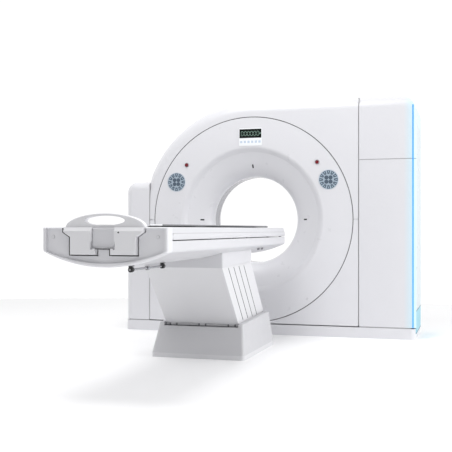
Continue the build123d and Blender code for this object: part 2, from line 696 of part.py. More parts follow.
def detector():
    """Curved detector opposite the tube, centred on its focus."""
    focus = AXIS_Z + ROTOR_HUB_R + TUBE_RISE
    near = focus - AXIS_Z + BORE_R + 110
    arc = rod_y(-55, 55, 0, focus, near + 60) - rod_y(-56, 56, 0, focus, near)
    for i in range(24):
        groove = Pos(0, 0, focus) * Rot(0, (i - 11.5) * 2.1, 0) * Pos(0, 0, -near - 60)
        arc -= groove * Box(6, 112, 24)
    reach = near * math.sin(math.radians(26))
    low = focus - near
    arc &= block(-reach, reach, -56, 56, low - 240, low + 260)
    arc += block(-200, 200, 55, ROTOR_PLATE_Y, low - 55, low - 5)
    parts["detector_arc"] = arc


def rotor_units():
    """Boxes on the drum: generator, cooler and data unit."""
    back = ROTOR_PLATE_Y
    outer = ROTOR_R - UNIT_INSET
    generator = block(outer - 200, outer, -120, back, AXIS_Z - 150, AXIS_Z + 150)
    generator = fillet(generator.edges().filter_by(Axis.Y), 24)
    for i in range(9):
        z = AXIS_Z - 120 + i * 30
        generator -= block(outer - 170, outer - 30, -121, -100, z - 5, z + 5)
    parts["high_voltage_generator"] = around_bore(generator, 178)
    middle = outer - 120
    cooler = block(middle - 90, middle + 90, -110, back, AXIS_Z - 105, AXIS_Z + 105)
    cooler -= rod_y(-111, -60, middle, AXIS_Z, 80)
    cooler += rod_y(-100, -60, middle, AXIS_Z, 28)
    for i in range(6):
        blade = Pos(middle, -78, AXIS_Z) * Rot(0, i * 60, 0) * Pos(50, 0, 0) * Rot(35, 0, 0)
        cooler += blade * Box(52, 3, 22)
    parts["tube_cooler"] = around_bore(cooler, 38)
    face = outer - 10
    data = block(face - 160, face, -90, back, AXIS_Z - 110, AXIS_Z + 110)
    for i in range(7):
        z = AXIS_Z - 90 + i * 30
        data -= block(face - 20, face + 1, -70, back - 20, z - 6, z + 6)
    parts["data_unit"] = around_bore(data, 344)


# Stands, column and plinth


def stand_hull(inset):
    """Outer form of the left stand's cover."""
    roll = STAND_ROLL_R - inset
    beyond = STAND_FACE_X + 200
    hull = block(
        STAND_LEFT_X + inset, beyond, FRONT_Y + inset, REAR_Y - inset, -200, STAND_TOP - inset
    )
    edge = hull.edges().filter_by(Axis.Y).sort_by(Axis.Z)[-2:].sort_by(Axis.X)[0]
    hull = fillet(edge, STAND_ROLL_R * 1.4 - inset)
    for group in (0, -1):
        face = hull.faces().sort_by(Axis.Y)[group]
        edges = [e for e in face.edges() if e.center().X < beyond - 1 and e.center().Z > -199]
        hull = fillet(edges, roll)
    base = COVER_BOTTOM if inset == 0 else 0
    return hull & block(-FAR, STAND_FACE_X - inset, -FAR, FAR, base, FAR)


def left_stand_cover():
    """Hollow cover of the left stand, with its trunnion hole."""
    cover = stand_hull(0) - stand_hull(WALL)
    cover -= rod_x(STAND_FACE_X - WALL - 1, 0, 0, AXIS_Z, TRUNNION_R + TRUNNION_CLEARANCE)
    parts["left_stand_cover"] = cover


def column_hull(inset):
    """Outer form of the right column."""
    front = FRONT_Y + inset
    rear = REAR_Y - inset
    top = TOP_Z - inset
    low = COVER_BOTTOM if inset == 0 else 0
    side = block(COLUMN_FACE_X + inset, COLUMN_RIGHT_X - inset, front, rear, low, top)
    edge = side.edges().filter_by(Axis.Y).sort_by(Axis.Z)[-2:].sort_by(Axis.X)[-1]
    side = fillet(edge, COLUMN_CORNER_R - inset)
    rolled = block(-FAR, FAR, front, rear, -200, top)
    for group, radius in ((0, ROLL_R), (-1, REAR_ROLL_R)):
        edges = rolled.edges().filter_by(Axis.X).group_by(Axis.Z)[-1].sort_by(Axis.Y)
        rolled = fillet(edges[group], radius - inset)
    upright = block(0, COLUMN_RIGHT_X - inset, front, rear, -200, top)
    edge = upright.edges().filter_by(Axis.Z).group_by(Axis.X)[-1].sort_by(Axis.Y)[0]
    return side & rolled & fillet(edge, COLUMN_EDGE_R - inset)


def side_panel_block(z0, z1, thickness):
    """Block on the outer side of the column for a panel or its rebate."""
    return block(
        COLUMN_RIGHT_X - thickness, COLUMN_RIGHT_X, FRONT_Y + SIDE_PANEL_START,
        REAR_Y - SIDE_PANEL_END, z0, z1,
    )


def column_covers():
    """Column covers, light strip and side panels."""
    shell = column_hull(0) - column_hull(WALL)
    shell -= rod_x(0, COLUMN_FACE_X + WALL + 1, 0, AXIS_Z, TRUNNION_R + TRUNNION_CLEARANCE)
    strip_x = COLUMN_RIGHT_X - STRIP_INSET
    strip_end = strip_x + STRIP_WIDTH
    strip_back = FRONT_Y + STRIP_DEPTH
    slot = block(strip_x, strip_end, FRONT_Y - 1, strip_back, 0, STRIP_TOP)
    backing = block(
        strip_x - WALL, strip_end + WALL, FRONT_Y + WALL, strip_back + WALL, COVER_BOTTOM, TOP_Z
    ) & column_hull(WALL)
    shell = shell - slot + (backing - slot)
    panel_top = STRIP_TOP - COLUMN_CORNER_R
    panel_bottom = KICK_TOP + 6
    rebate = side_panel_block(panel_bottom - 1, panel_top + 1, SIDE_PANEL_THICKNESS)
    kick_rebate = side_panel_block(0, KICK_TOP + 1, SIDE_PANEL_THICKNESS)
    shell = shell - rebate - kick_rebate
    half = COVER_SEAM / 2
    parts["upper_column_cover"] = shell & block(-FAR, FAR, -FAR, FAR, COLUMN_SEAM_Z + half, FAR)
    parts["lower_column_cover"] = shell & block(-FAR, FAR, -FAR, FAR, 0, COLUMN_SEAM_Z - half)
    strip = column_hull(0) & slot
    parts["column_light_strip"] = strip
    upper = side_panel_block(panel_bottom, panel_top, SIDE_PANEL_THICKNESS)
    kick = side_panel_block(KICK_BOTTOM, KICK_TOP, SIDE_PANEL_THICKNESS)
    parts["column_side_panels"] = Compound(children=[upper, kick])


def plinth():
    """Skirt all round the foot of the gantry, and the floor plate inside it."""
    x0 = STAND_LEFT_X + PLINTH_INSET
    x1 = COLUMN_RIGHT_X - PLINTH_INSET
    y0 = FRONT_Y + PLINTH_INSET
    y1 = REAR_Y - PLINTH_INSET
    outer = block(x0, x1, y0, y1, 0, PLINTH_HEIGHT)
    outer = fillet(outer.edges().filter_by(Axis.Z), PLINTH_CORNER_R)
    inner = block(x0 + WALL, x1 - WALL, y0 + WALL, y1 - WALL, 0, PLINTH_HEIGHT)
    inner = fillet(inner.edges().filter_by(Axis.Z), PLINTH_CORNER_R - WALL)
    parts["plinth_skirt"] = outer - inner
    parts["floor_plate"] = inner & block(-FAR, FAR, -FAR, FAR, 0, FLOOR_PLATE)


def stand_frame(shelves, sides):
    """Welded tower with a bearing housing, drawn on the right side."""
    x0 = STAND_FRAME_INNER
    x1 = TRUNNION_END
    y0 = STAND_FRAME_FRONT
    y1 = STAND_FRAME_REAR
    wall = STAND_FRAME_WALL
    tower = block(x0, x1, y0, y1, FLOOR_PLATE, STAND_FRAME_TOP)
    tower -= block(x0 + wall, x1 - wall, y0 + wall, y1 - wall, FLOOR_PLATE + wall,
                   STAND_FRAME_TOP - wall)
    tower -= block(x0 + wall, x1 - wall, y0 - 1, y1 + 1, FLOOR_PLATE + 80, AXIS_Z - 250)
    housing_r = TRUNNION_R + BEARING_WALL
    tower += rod_x(x0, x1, 0, AXIS_Z, housing_r + 30)
    tower -= rod_x(x0 - 1, x1 + 1, 0, AXIS_Z, housing_r)
    inner, outer = sides
    post_top = max(shelves)
    if post_top > STAND_FRAME_TOP:
        tower += block(x0, x1, 60, 120, STAND_FRAME_TOP, post_top)
    for z in shelves:
        tower += block(inner, outer, y0 - 20, y1 + 20, z - wall, z) - block(
            x0 + wall, x1 - wall, y0 + wall, y1 - wall, z - wall - 1, z + 1
        )
    return tower


def stand_frames():
    """Left and right stand frames with their tilt bearings."""
    left = (-STAND_FACE_X + WALL, -STAND_LEFT_X - WALL)
    right = (COLUMN_FACE_X + WALL, COLUMN_RIGHT_X - WALL)
    towers = [mirrored(stand_frame([STAND_FRAME_TOP], left)),
              stand_frame([STAND_FRAME_TOP, COLUMN_SEAM_Z + 150], right)]
    parts["stand_frames"] = Compound(children=towers)
    x0 = (STAND_FRAME_INNER + TRUNNION_END - BEARING_LENGTH) / 2
    bearing = rod_x(x0, x0 + BEARING_LENGTH, 0, AXIS_Z, TRUNNION_R + BEARING_WALL)
    bearing -= rod_x(x0 - 1, x0 + BEARING_LENGTH + 1, 0, AXIS_Z, TRUNNION_R + RUNNING_GAP)
    parts["tilt_bearings"] = pair(bearing)


def tilt_drive():
    """Worm gear housing over the right trunnion's end, with its motor."""
    x0 = TRUNNION_END
    x1 = TRUNNION_END + 76
    drive = block(x0, x1, -110, 110, AXIS_Z - 150, AXIS_Z + 120)
    drive = fillet(drive.edges().filter_by(Axis.X), 30)
    drive -= rod_x(x0 - 1, x0 + 12, 0, AXIS_Z, TRUNNION_R + 2)
    middle = (x0 + x1) / 2
    drive += rod_y(110, 255, middle, AXIS_Z - 110, 34)
    drive += rod_y(255, 280, middle, AXIS_Z - 110, 38)
    parts["tilt_drive"] = drive


def power_unit():
    """Power and control rack in the column."""
    x0 = TRUNNION_END + 90
    x1 = COLUMN_RIGHT_X - 22
    rack = block(x0, x1, STAND_FRAME_FRONT - 20, STAND_FRAME_REAR + 10, FLOOR_PLATE, AXIS_Z - 100)
    for i in range(10):
        z = 120 + i * 66
        rack -= block(x0 + 16, x1 - 16, STAND_FRAME_FRONT - 21, STAND_FRAME_FRONT - 8, z, z + 40)
    parts["power_unit"] = rack


# Patient table body


def belly_outline(inset, top):
    """Cross-section of the table body, in X and Z."""
    half = TABLE_HALF - inset
    corner = BODY_CORNER_Z
    belly = BELLY_Z + inset
    return make_face(
        Polyline((-half, corner), (-half, top), (half, top), (half, corner))
        + ThreePointArc((half, corner), (0, belly), (-half, corner))
    )


def end_plane_body(y0, y1, inset, top):
    """Table body between two places along it, with soft lower corners."""
    body = slab_y(belly_outline(inset, top), y0, y1)
    lows = [e for e in body.edges().filter_by(Axis.Y) if abs(e.center().Z - BODY_CORNER_Z) < 1]
    return fillet(lows, 16 - inset / 2)


def table_body():
    """Hollow body under the table, open where the pedestal enters it."""
    front = FOOT_Y + END_DEPTH
    body = end_plane_body(front, BODY_END_Y, 0, BODY_TOP)
    head_end = body.faces().sort_by(Axis.Y)[-1]
    low_edge = [e for e in head_end.edges() if e.center().Z < BODY_TOP - 1]
    body = fillet(low_edge, 12)
    hollow = end_plane_body(front - 1, BODY_END_Y - BODY_WALL, BODY_WALL, BODY_TOP + 1)
    body -= hollow
    half = HEAD_HALF + HEAD_GAP
    top = BEAM_BOTTOM + 10
    body -= block(-half, half, HEAD_FRONT_Y - HEAD_GAP, HEAD_REAR_Y + HEAD_GAP, 0, top)
    flange = PANEL_HALF - (SLATS + 1) * SLAT_NEST - SLAT_SHEET / 2
    slit = block(flange - BELLY_SLIT / 2, flange + BELLY_SLIT / 2, HEAD_REAR_Y, BELLY_SLIT_END, 0, top)
    body = body - slit - mirrored(slit)
    parts["table_body"] = body


def side_rail_covers():
    """Hollow side covers with a bead along them, between body and cradle."""
    x0 = RAIL_INNER
    x1 = TABLE_HALF
    bead = (RAIL_CREASE - RAIL_BOTTOM) / 2
    middle = RAIL_BOTTOM + bead
    t = RAIL_WALL
    outer = make_face(
        Polyline((x1 - 4, RAIL_BOTTOM), (x0 + 30, RAIL_BOTTOM), (x0, RAIL_BOTTOM + 14),
                 (x0, RAIL_TOP), (x1 - 14, RAIL_TOP), (x1 - 4, RAIL_CREASE))
        + ThreePointArc((x1 - 4, RAIL_CREASE), (x1, middle), (x1 - 4, RAIL_BOTTOM))
    )
    inner = polygon(
        (x1 - 4 - t, RAIL_BOTTOM - 1), (x0 + 36, RAIL_BOTTOM - 1), (x0 + t, RAIL_BOTTOM + 18),
        (x0 + t, RAIL_TOP - t), (x1 - 17 - t, RAIL_TOP - t), (x1 - 4 - t, RAIL_CREASE),
    )
    front = FOOT_Y + END_DEPTH
    rail = slab_y(outer, front, BODY_END_Y) - slab_y(inner, front - 1, BODY_END_Y - t)
    parts["side_rail_covers"] = pair(rail)


def handle_outline(grow):
    """Outline of the handle panel, in X and Z, grown by a gap."""
    g = grow
    waist = HANDLE_WAIST_HALF + g
    shoulder = CRADLE_HALF + g
    low = HANDLE_BOTTOM - g
    notch = HANDLE_NOTCH_HALF - g
    notch_top = HANDLE_NOTCH_TOP - g
    flare = HANDLE_WAIST_Z + 24
    corners = [
        (shoulder, HANDLE_SHOULDER_Z), (shoulder, flare), (waist, HANDLE_WAIST_Z), (waist, low),
        (notch, low), (notch, notch_top), (-notch, notch_top), (-notch, low), (-waist, low),
        (-waist, HANDLE_WAIST_Z), (-shoulder, flare), (-shoulder, HANDLE_SHOULDER_Z),
    ]
    if grow:
        return polygon(*corners, (-shoulder, FAR), (shoulder, FAR))
    hump = Bezier(
        corners[-1], (-shoulder, HANDLE_SHOULDER_Z + 40), (-CRADLE_HALF * 0.5, HANDLE_TOP),
        (0, HANDLE_TOP),
    )
    return make_face(
        Polyline(*corners) + hump
        + Bezier((0, HANDLE_TOP), (CRADLE_HALF * 0.5, HANDLE_TOP),
                 (shoulder, HANDLE_SHOULDER_Z + 40), corners[0])
    )


def end_screw():
    """Slotted screw on the recessed face of the foot end cover."""
    face = FOOT_Y + END_RECESS
    head = rod_y(face - 2.5, face + 1, SCREW_X, SCREW_Z, SCREW_R)
    slot = block(
        SCREW_X - SCREW_R - 1, SCREW_X + SCREW_R + 1, face - 3, face - 1.2, SCREW_Z - 1, SCREW_Z + 1
    )
    return head - slot


def foot_end_cover():
    """Fixed end cover: a thick rim round a recessed face, cut out for the handle panel."""
    front = FOOT_Y
    rear = FOOT_Y + END_DEPTH
    cover = end_plane_body(front, rear, 0, RAIL_TOP)
    outer = cover.faces().sort_by(Axis.Y)[0]
    cover = fillet(outer.edges(), END_ROLL)
    face = front + END_RECESS
    cover -= end_plane_body(front - 1, face, END_RIM, RAIL_TOP - END_RIM / 3)
    back = face + END_PLATE_THICKNESS
    cover -= end_plane_body(back, rear + 1, END_PLATE_THICKNESS, RAIL_TOP - END_PLATE_THICKNESS)
    cover -= slab_y(handle_outline(HANDLE_GAP), front - 1, rear + 1)
    screw = end_screw()
    parts["foot_end_cover"] = cover + screw + mirrored(screw)


def handle_panel():
    """End piece of the cradle: grip arch with its hand slot, and the lever's recess."""
    y0 = FOOT_Y - HANDLE_PROUD
    y1 = FOOT_Y + HANDLE_REAR
    arch_y = y0 + ARCH_STEP
    arch = slab_y(handle_outline(0), arch_y, arch_y + ARCH_DEPTH)
    rims = [e for e in arch.edges() if e.center().Z > HANDLE_SHOULDER_Z + 8]
    arch = fillet(rims, 7)
    middle = (SLOT_BOTTOM + SLOT_TOP) / 2
    oval = Pos(0, middle) * Ellipse(SLOT_HALF, (SLOT_TOP - SLOT_BOTTOM) / 2)
    arch -= slab_y(oval, arch_y - 1, arch_y + ARCH_DEPTH + 1)
    arch = fillet([e for e in arch.edges() if e.geom_type == GeomType.ELLIPSE], 5)
    lower = block(-FAR, FAR, -FAR, FAR, 0, HANDLE_SHOULDER_Z)
    body = slab_y(handle_outline(0), arch_y, y1) & lower
    boss = slab_y(handle_outline(0), y0, arch_y + 1) & lower
    slope = polygon((y0 - 1, HANDLE_SHOULDER_Z - 20), (y0 - 1, FAR), (arch_y + 1, FAR),
                    (arch_y + 1, HANDLE_SHOULDER_Z + 18))
    boss -= slab_x(slope, -FAR, FAR)
    boss = fillet(boss.faces().sort_by(Axis.Y)[0].edges(), 4)
    panel = arch + body + boss
    recess_half = LEVER_HALF + LEVER_GAP
    recess = block(
        -recess_half, recess_half, y0 - 1, y0 + LEVER_RECESS, HANDLE_NOTCH_TOP - 1,
        LEVER_TOP + LEVER_GAP,
    )
    recess = fillet(recess.edges().filter_by(Axis.Y).sort_by(Axis.Z)[-2:], 14)
    panel -= recess
    slit = block(
        LEVER_HALF - 2, recess_half + 5, y0 - 1, y0 + LEVER_RECESS, HANDLE_NOTCH_TOP - 6,
        HANDLE_NOTCH_TOP + 34,
    )
    panel = panel - slit - mirrored(slit)
    ears = rod_x(-recess_half - 8, recess_half + 8, y0 + LEVER_RECESS - 7, LEVER_TOP - 8, 2.6)
    panel -= ears
    parts["handle_panel"] = panel
    hinge_y = y0 + LEVER_RECESS - 7
    hinge_z = LEVER_TOP - 8
    lever = block(
        -LEVER_HALF, LEVER_HALF, hinge_y - LEVER_THICKNESS / 2, hinge_y + LEVER_THICKNESS / 2,
        LEVER_BOTTOM, hinge_z,
    )
    lever += rod_x(-LEVER_HALF, LEVER_HALF, hinge_y, hinge_z, 5.5)
    lower = lever.edges().filter_by(Axis.Y).sort_by(Axis.Z)[:2]
    lever = fillet(lower, 16)
    lever += rod_x(-LEVER_HALF - 9, LEVER_HALF + 9, hinge_y, hinge_z, 2.3)
    parts["release_lever"] = lever


def cradle():
    """Shallow moulded cradle, tapered at the head."""
    y0 = FOOT_Y + HANDLE_REAR
    edge = CRADLE_EDGE_Z
    half = CRADLE_HALF
    top = ThreePointArc((-half, edge), (0, edge - CRADLE_DIP), (half, edge))
    under = edge - CRADLE_DIP - CRADLE_THICKNESS
    bottom = ThreePointArc((half, edge - 7), (0, under), (-half, edge - 7))
    outline = make_face(
        top + Polyline((half, edge), (half, edge - 7)) + bottom
        + Polyline((-half, edge - 7), (-half, edge))
    )
    shell = slab_y(outline, y0, CRADLE_HEAD_Y)
    taper = CRADLE_HEAD_Y - CRADLE_TAPER
    plan = make_face(
        Polyline((-half - 1, y0 - 1), (half + 1, y0 - 1), (half + 1, taper))
        + Bezier((half + 1, taper), (half, taper + CRADLE_TAPER * 0.5),
                 (CRADLE_NOSE_HALF, CRADLE_HEAD_Y), (CRADLE_NOSE_HALF - 60, CRADLE_HEAD_Y))
        + Polyline((CRADLE_NOSE_HALF - 60, CRADLE_HEAD_Y), (60 - CRADLE_NOSE_HALF, CRADLE_HEAD_Y))
        + Bezier((60 - CRADLE_NOSE_HALF, CRADLE_HEAD_Y), (-CRADLE_NOSE_HALF, CRADLE_HEAD_Y),
                 (-half, taper + CRADLE_TAPER * 0.5), (-half - 1, taper))
        + Polyline((-half - 1, taper), (-half - 1, y0 - 1))
    )
    prism = extrude(Pos(0, 0, under - 10) * plan, amount=CRADLE_DIP + CRADLE_THICKNESS + 30)
    parts["cradle"] = shell & prism


def carriage():
    """Carriage under the cradle's foot end, running on the guide rails."""
    y0 = FOOT_Y + END_DEPTH + 20
    y1 = y0 + 380
    z0 = BEAM_TOP + GUIDE_HEIGHT + RUNNING_GAP
    half = BEAM_OUTER - 10
    plate = block(-half, half, y0, y1, z0, z0 + CARRIAGE_PLATE)
    for i in range(3):
        x = (i - 1) * 120
        plate -= block(x - 42, x + 42, y0 + 110, y1 - 110, z0 - 1, z0 + CARRIAGE_PLATE + 1)
    riser = block(-90, 90, y0, y0 + 60, z0 + CARRIAGE_PLATE, CRADLE_EDGE_Z)
    riser += block(-90, 90, y1 - 60, y1, z0 + CARRIAGE_PLATE, CRADLE_EDGE_Z)
    edge = CRADLE_EDGE_Z
    under = edge - CRADLE_DIP - CRADLE_THICKNESS
    space = make_face(
        ThreePointArc((CRADLE_HALF, edge - 7), (0, under), (-CRADLE_HALF, edge - 7))
        + Polyline((-CRADLE_HALF, edge - 7), (-CRADLE_HALF, FAR), (CRADLE_HALF, FAR),
                   (CRADLE_HALF, edge - 7))
    )
    riser -= slab_y(space, y0 - 1, y1 + 1)
    parts["cradle_carriage"] = plate + riser


def table_frame():
    """Two beams with guide rails, dropped cross plates, outriggers and cover posts."""
    y0 = FOOT_Y + END_DEPTH + 2
    y1 = BODY_END_Y - BODY_WALL - 2
    beam = block(BEAM_INNER, BEAM_OUTER, y0, y1, BEAM_BOTTOM, BEAM_TOP)
    slot = block(BEAM_INNER + 5, BEAM_OUTER + 1, y0 - 1, y1 + 1, BEAM_BOTTOM + 5, BEAM_TOP - 5)
    beam -= slot
    frame = beam + mirrored(beam)
    reach = TABLE_HALF - BODY_WALL
    for y in (y0 + 40, y0 + 700, y1 - 420, y1 - 40):
        arm = block(BEAM_INNER, reach, y - 20, y + 20, BEAM_TOP - 26, BEAM_TOP)
        arm += block(reach - 30, reach - 18, y - 20, y + 20, BEAM_TOP, RAIL_TOP - RAIL_WALL)
        frame += arm + mirrored(arm)
    for y in (y0 + 260, y1 - 60):
        plate_z = BEAM_BOTTOM - 30
        cross = block(-BEAM_OUTER + 20, BEAM_OUTER - 20, y - 35, y + 35, plate_z, plate_z + 8)
        riser = block(BEAM_INNER, BEAM_OUTER - 20, y - 35, y + 35, plate_z, BEAM_BOTTOM)
        frame += cross + riser + mirrored(riser)
    guide = block(BEAM_INNER + 8, BEAM_OUTER - 8, y0, y1, BEAM_TOP, BEAM_TOP + GUIDE_HEIGHT)
    parts["table_frame"] = frame + guide + mirrored(guide)
    pad_y = y1 - 60
    under = CRADLE_EDGE_Z - CRADLE_DIP - CRADLE_THICKNESS
    stool = block(-60, 60, pad_y - 30, pad_y + 30, BEAM_BOTTOM - 22, under - 14)
    stool -= block(-50, 50, pad_y - 31, pad_y + 31, BEAM_BOTTOM - 12, under - 24)
    pad = block(-56, 56, pad_y - 26, pad_y + 26, under - 14, under - RUNNING_GAP)
    parts["cradle_support"] = stool + pad


def cradle_drive():
    """Drive motor for the cradle, low in the body, with its belt pulley housing."""
    y0 = FOOT_Y + END_DEPTH + 230
    plate_z = BEAM_BOTTOM - 30
    motor = rod_y(y0, y0 + 160, 0, plate_z - 17, 17)
    motor += block(-30, 30, y0 + 10, y0 + 50, plate_z - 20, plate_z)
    parts["cradle_drive"] = motor


# Lifting pedestal


def link_end(y, z):
    """Upper pivot of a link whose lower pivot is given."""
    return y + LINK_Y, z + LINK_Z


def along_link(y, z, down, up):
    """Corners of a strip beside a link's pivot line, cut level at both ends."""
    lean = LINK_Y / LINK_Z
    low = z - down
    high = z + LINK_Z + up
    return (y - down * lean, low), (y + (LINK_Z + up) * lean, high)


def slat_outline(y, width, lower, upper):
    """Face of a slat in Y and Z: near edge on the pivot line, ends cut level."""
    (y0, z0), (y1, z1) = along_link(y, HINGE_Z, lower, upper)
    return polygon((y0, z0), (y0 + width, z0), (y1 + width, z1), (y1, z1))


def slat_pins(y, inner, outer):
    """Pivot pins at both ends of a slat, on its inner side."""
    top_y, top_z = link_end(y, HINGE_Z)
    pins = rod_x(inner, outer, y + LINK_PIN_R + 3, HINGE_Z + 2, LINK_PIN_R)
    return pins + rod_x(inner, outer, top_y + LINK_PIN_R + 3, top_z + 2, LINK_PIN_R)


def groove(y):
    """Long slot with round ends, just before the next slat's near edge."""
    lean = LINK_Y / LINK_Z
    middle = y + SLAT_PITCH - GROOVE_INSET
    across_y = GROOVE_HALF * math.sin(math.radians(LIFT_ANGLE))
    across_z = GROOVE_HALF * math.cos(math.radians(LIFT_ANGLE))
    z0 = HINGE_Z + GROOVE_RISE
    z1 = HINGE_Z + LINK_Z - GROOVE_DROP
    y0 = middle + GROOVE_RISE * lean
    y1 = middle + (LINK_Z - GROOVE_DROP) * lean
    face = polygon((y0 - across_y, z0 - across_z), (y0 + across_y, z0 + across_z),
                   (y1 + across_y, z1 + across_z), (y1 - across_y, z1 - across_z))
    cut = slab_x(face, -FAR, FAR)
    return cut + rod_x(-FAR, FAR, y0, z0, GROOVE_HALF) + rod_x(-FAR, FAR, y1, z1, GROOVE_HALF)


def side_slats():
    """Slats that fold past each other like a fan as the table goes down."""
    for i in range(1, SLATS + 1):
        outer = PANEL_HALF - i * SLAT_NEST
        width = SLAT_PITCH + SLAT_OVERLAP
        face = slat_outline(HINGE_Y + i * SLAT_PITCH, width, 10, 8)
        strip = slab_x(face, outer - SLAT_SHEET, outer) - groove(HINGE_Y + i * SLAT_PITCH)
        strip += slat_pins(HINGE_Y + i * SLAT_PITCH, BEARER_INNER, outer - SLAT_SHEET / 2)
        parts[f"side_slat_{i}"] = pair(strip)


def foot_side_panel():
    """Wide panel towards the foot end, with side flanges and three knuckles."""
    lean = LINK_Y / LINK_Z
    width = SLAT_PITCH + SLAT_OVERLAP
    half = PANEL_THICKNESS / 2 / math.sin(math.radians(LIFT_ANGLE))
    (y0, z0), (y1, z1) = along_link(HINGE_Y, HINGE_Z, -8, -2)
    web = slab_x(polygon((y0 - half, z0), (y0 + half, z0), (y1 + half, z1), (y1 - half, z1)),
                 -PANEL_HALF, PANEL_HALF)
    flange = slab_x(polygon((y0 - half, z0), (y0 + width, z0), (y1 + width, z1), (y1 - half, z1)),
                    PANEL_HALF - SLAT_SHEET, PANEL_HALF) - groove(HINGE_Y)
    panel = web + flange + mirrored(flange)
    front = [e for e in panel.edges() if abs(abs(e.center().X) - PANEL_HALF) < 0.1
             and e.length > LINK * 0.8 and e.center().Y < HINGE_Y + LINK_Y / 2]
    panel = fillet(front, 3.5)
    for x in (-KNUCKLE_X, 0, KNUCKLE_X):
        a = x - KNUCKLE_LENGTH / 2
        b = x + KNUCKLE_LENGTH / 2
        eye = rod_x(a, b, HINGE_Y, HINGE_Z, KNUCKLE_R)
        tongue = slab_x(polygon((HINGE_Y - 5, HINGE_Z), (HINGE_Y + 5, HINGE_Z),
                                (HINGE_Y + 5 + 12 * lean, HINGE_Z + 12),
                                (HINGE_Y - 5 + 12 * lean, HINGE_Z + 12)), a, b)
        panel += eye + tongue
    panel -= rod_x(-PANEL_HALF - 1, PANEL_HALF + 1, HINGE_Y, HINGE_Z, HINGE_ROD_R + RUNNING_GAP)
    parts["foot_side_panel"] = panel


def gantry_side_panel():
    """Wide panel towards the gantry, innermost of the nest."""
    y = HINGE_Y + (SLATS + 1) * SLAT_PITCH
    outer = PANEL_HALF - (SLATS + 1) * SLAT_NEST
    (y0, z0), (y1, z1) = along_link(y, HINGE_Z, 10, 8)
    width = REAR_PANEL_WIDTH
    flange = slab_x(polygon((y0, z0), (y0 + width, z0), (y1 + width, z1), (y1, z1)),
                    outer - SLAT_SHEET, outer)
    flange -= block(0, FAR, WELL_REAR - REAR_PANEL_GAP, FAR, 0, BASE_CHEEK_REAR_Z + 6)
    sheet = 2 * SLAT_SHEET / math.sin(math.radians(LIFT_ANGLE))
    web_y = REAR_WEB_OFFSET
    web = slab_x(polygon((y0 + web_y - sheet, z0), (y0 + web_y, z0), (y1 + web_y, z1),
                         (y1 + web_y - sheet, z1)), -outer, outer)
    panel = web + flange + mirrored(flange)
    pins = slat_pins(y, BEARER_INNER, outer - SLAT_SHEET / 2)
    parts["gantry_side_panel"] = panel + pins + mirrored(pins)


def lift_arm(y, z, inner, outer):
    """Pair of flat bars joined by a tube at each pivot."""
    top_y, top_z = link_end(y, z)
    normal_y = ARM_HEIGHT / 2 * math.sin(math.radians(LIFT_ANGLE))
    normal_z = ARM_HEIGHT / 2 * math.cos(math.radians(LIFT_ANGLE))
    face = polygon((y - normal_y, z - normal_z), (y + normal_y, z + normal_z),
                   (top_y + normal_y, top_z + normal_z), (top_y - normal_y, top_z - normal_z))
    bar = slab_x(face, inner, outer)
    bar += rod_x(inner, outer, y, z, ARM_EYE_R) + rod_x(inner, outer, top_y, top_z, ARM_EYE_R)
    middle_y = (y + top_y) / 2
    middle_z = (z + top_z) / 2
    for step in (-0.25, 0, 0.25):
        bar -= rod_x(inner - 1, outer + 1, middle_y + step * LINK_Y, middle_z + step * LINK_Z,
                     ARM_HOLE_R)
    arm = bar + mirrored(bar)
    for at_y, at_z in ((y, z), (top_y, top_z)):
        arm += rod_x(-inner, inner, at_y, at_z, ARM_TUBE_R)
    for at_y, at_z in ((y, z), (top_y, top_z)):
        arm -= rod_x(-outer - 1, outer + 1, at_y, at_z, SHAFT_R + SHAFT_CLEARANCE)
    return arm


def lift_arms():
    """Front and rear lift arms, the shafts they turn on and the foot panel's hinge rod."""
    parts["front_lift_arm"] = lift_arm(FRONT_ARM_Y, FRONT_ARM_Z, FRONT_ARM_INNER, FRONT_ARM_OUTER)
    parts["rear_lift_arm"] = lift_arm(REAR_ARM_Y, REAR_ARM_Z, REAR_ARM_INNER, REAR_ARM_OUTER)
    reach = BASE_OPENING_HALF - 1
    lower = [rod_x(-reach, reach, HINGE_Y, HINGE_Z, HINGE_ROD_R)]
    upper = []
    for y, z in ((FRONT_ARM_Y, FRONT_ARM_Z), (REAR_ARM_Y, REAR_ARM_Z)):
        top_y, top_z = link_end(y, z)
        lower.append(rod_x(-BEARER_OUTER, BEARER_OUTER, y, z, SHAFT_R))
        upper.append(rod_x(-BEARER_OUTER, BEARER_OUTER, top_y, top_z, SHAFT_R))
    parts["base_pivot_shafts"] = Compound(children=lower)
    parts["head_pivot_shafts"] = Compound(children=upper)


def bearer_holes(shift_y, shift_z):
    """Holes for the shafts and slat pins, at the base or shifted to the head."""
    holes = []
    for y, z in ((FRONT_ARM_Y, FRONT_ARM_Z), (REAR_ARM_Y, REAR_ARM_Z)):
        holes.append(rod_x(BEARER_INNER - 1, BEARER_OUTER + 1, y + shift_y, z + shift_z, SHAFT_R))
    for i in range(1, SLATS + 2):
        y = HINGE_Y + i * SLAT_PITCH + LINK_PIN_R + 3
        z = HINGE_Z + 2
        radius = LINK_PIN_R + PIN_CLEARANCE
        holes.append(rod_x(BEARER_INNER - 1, BEARER_OUTER + 1, y + shift_y, z + shift_z, radius))
    return holes


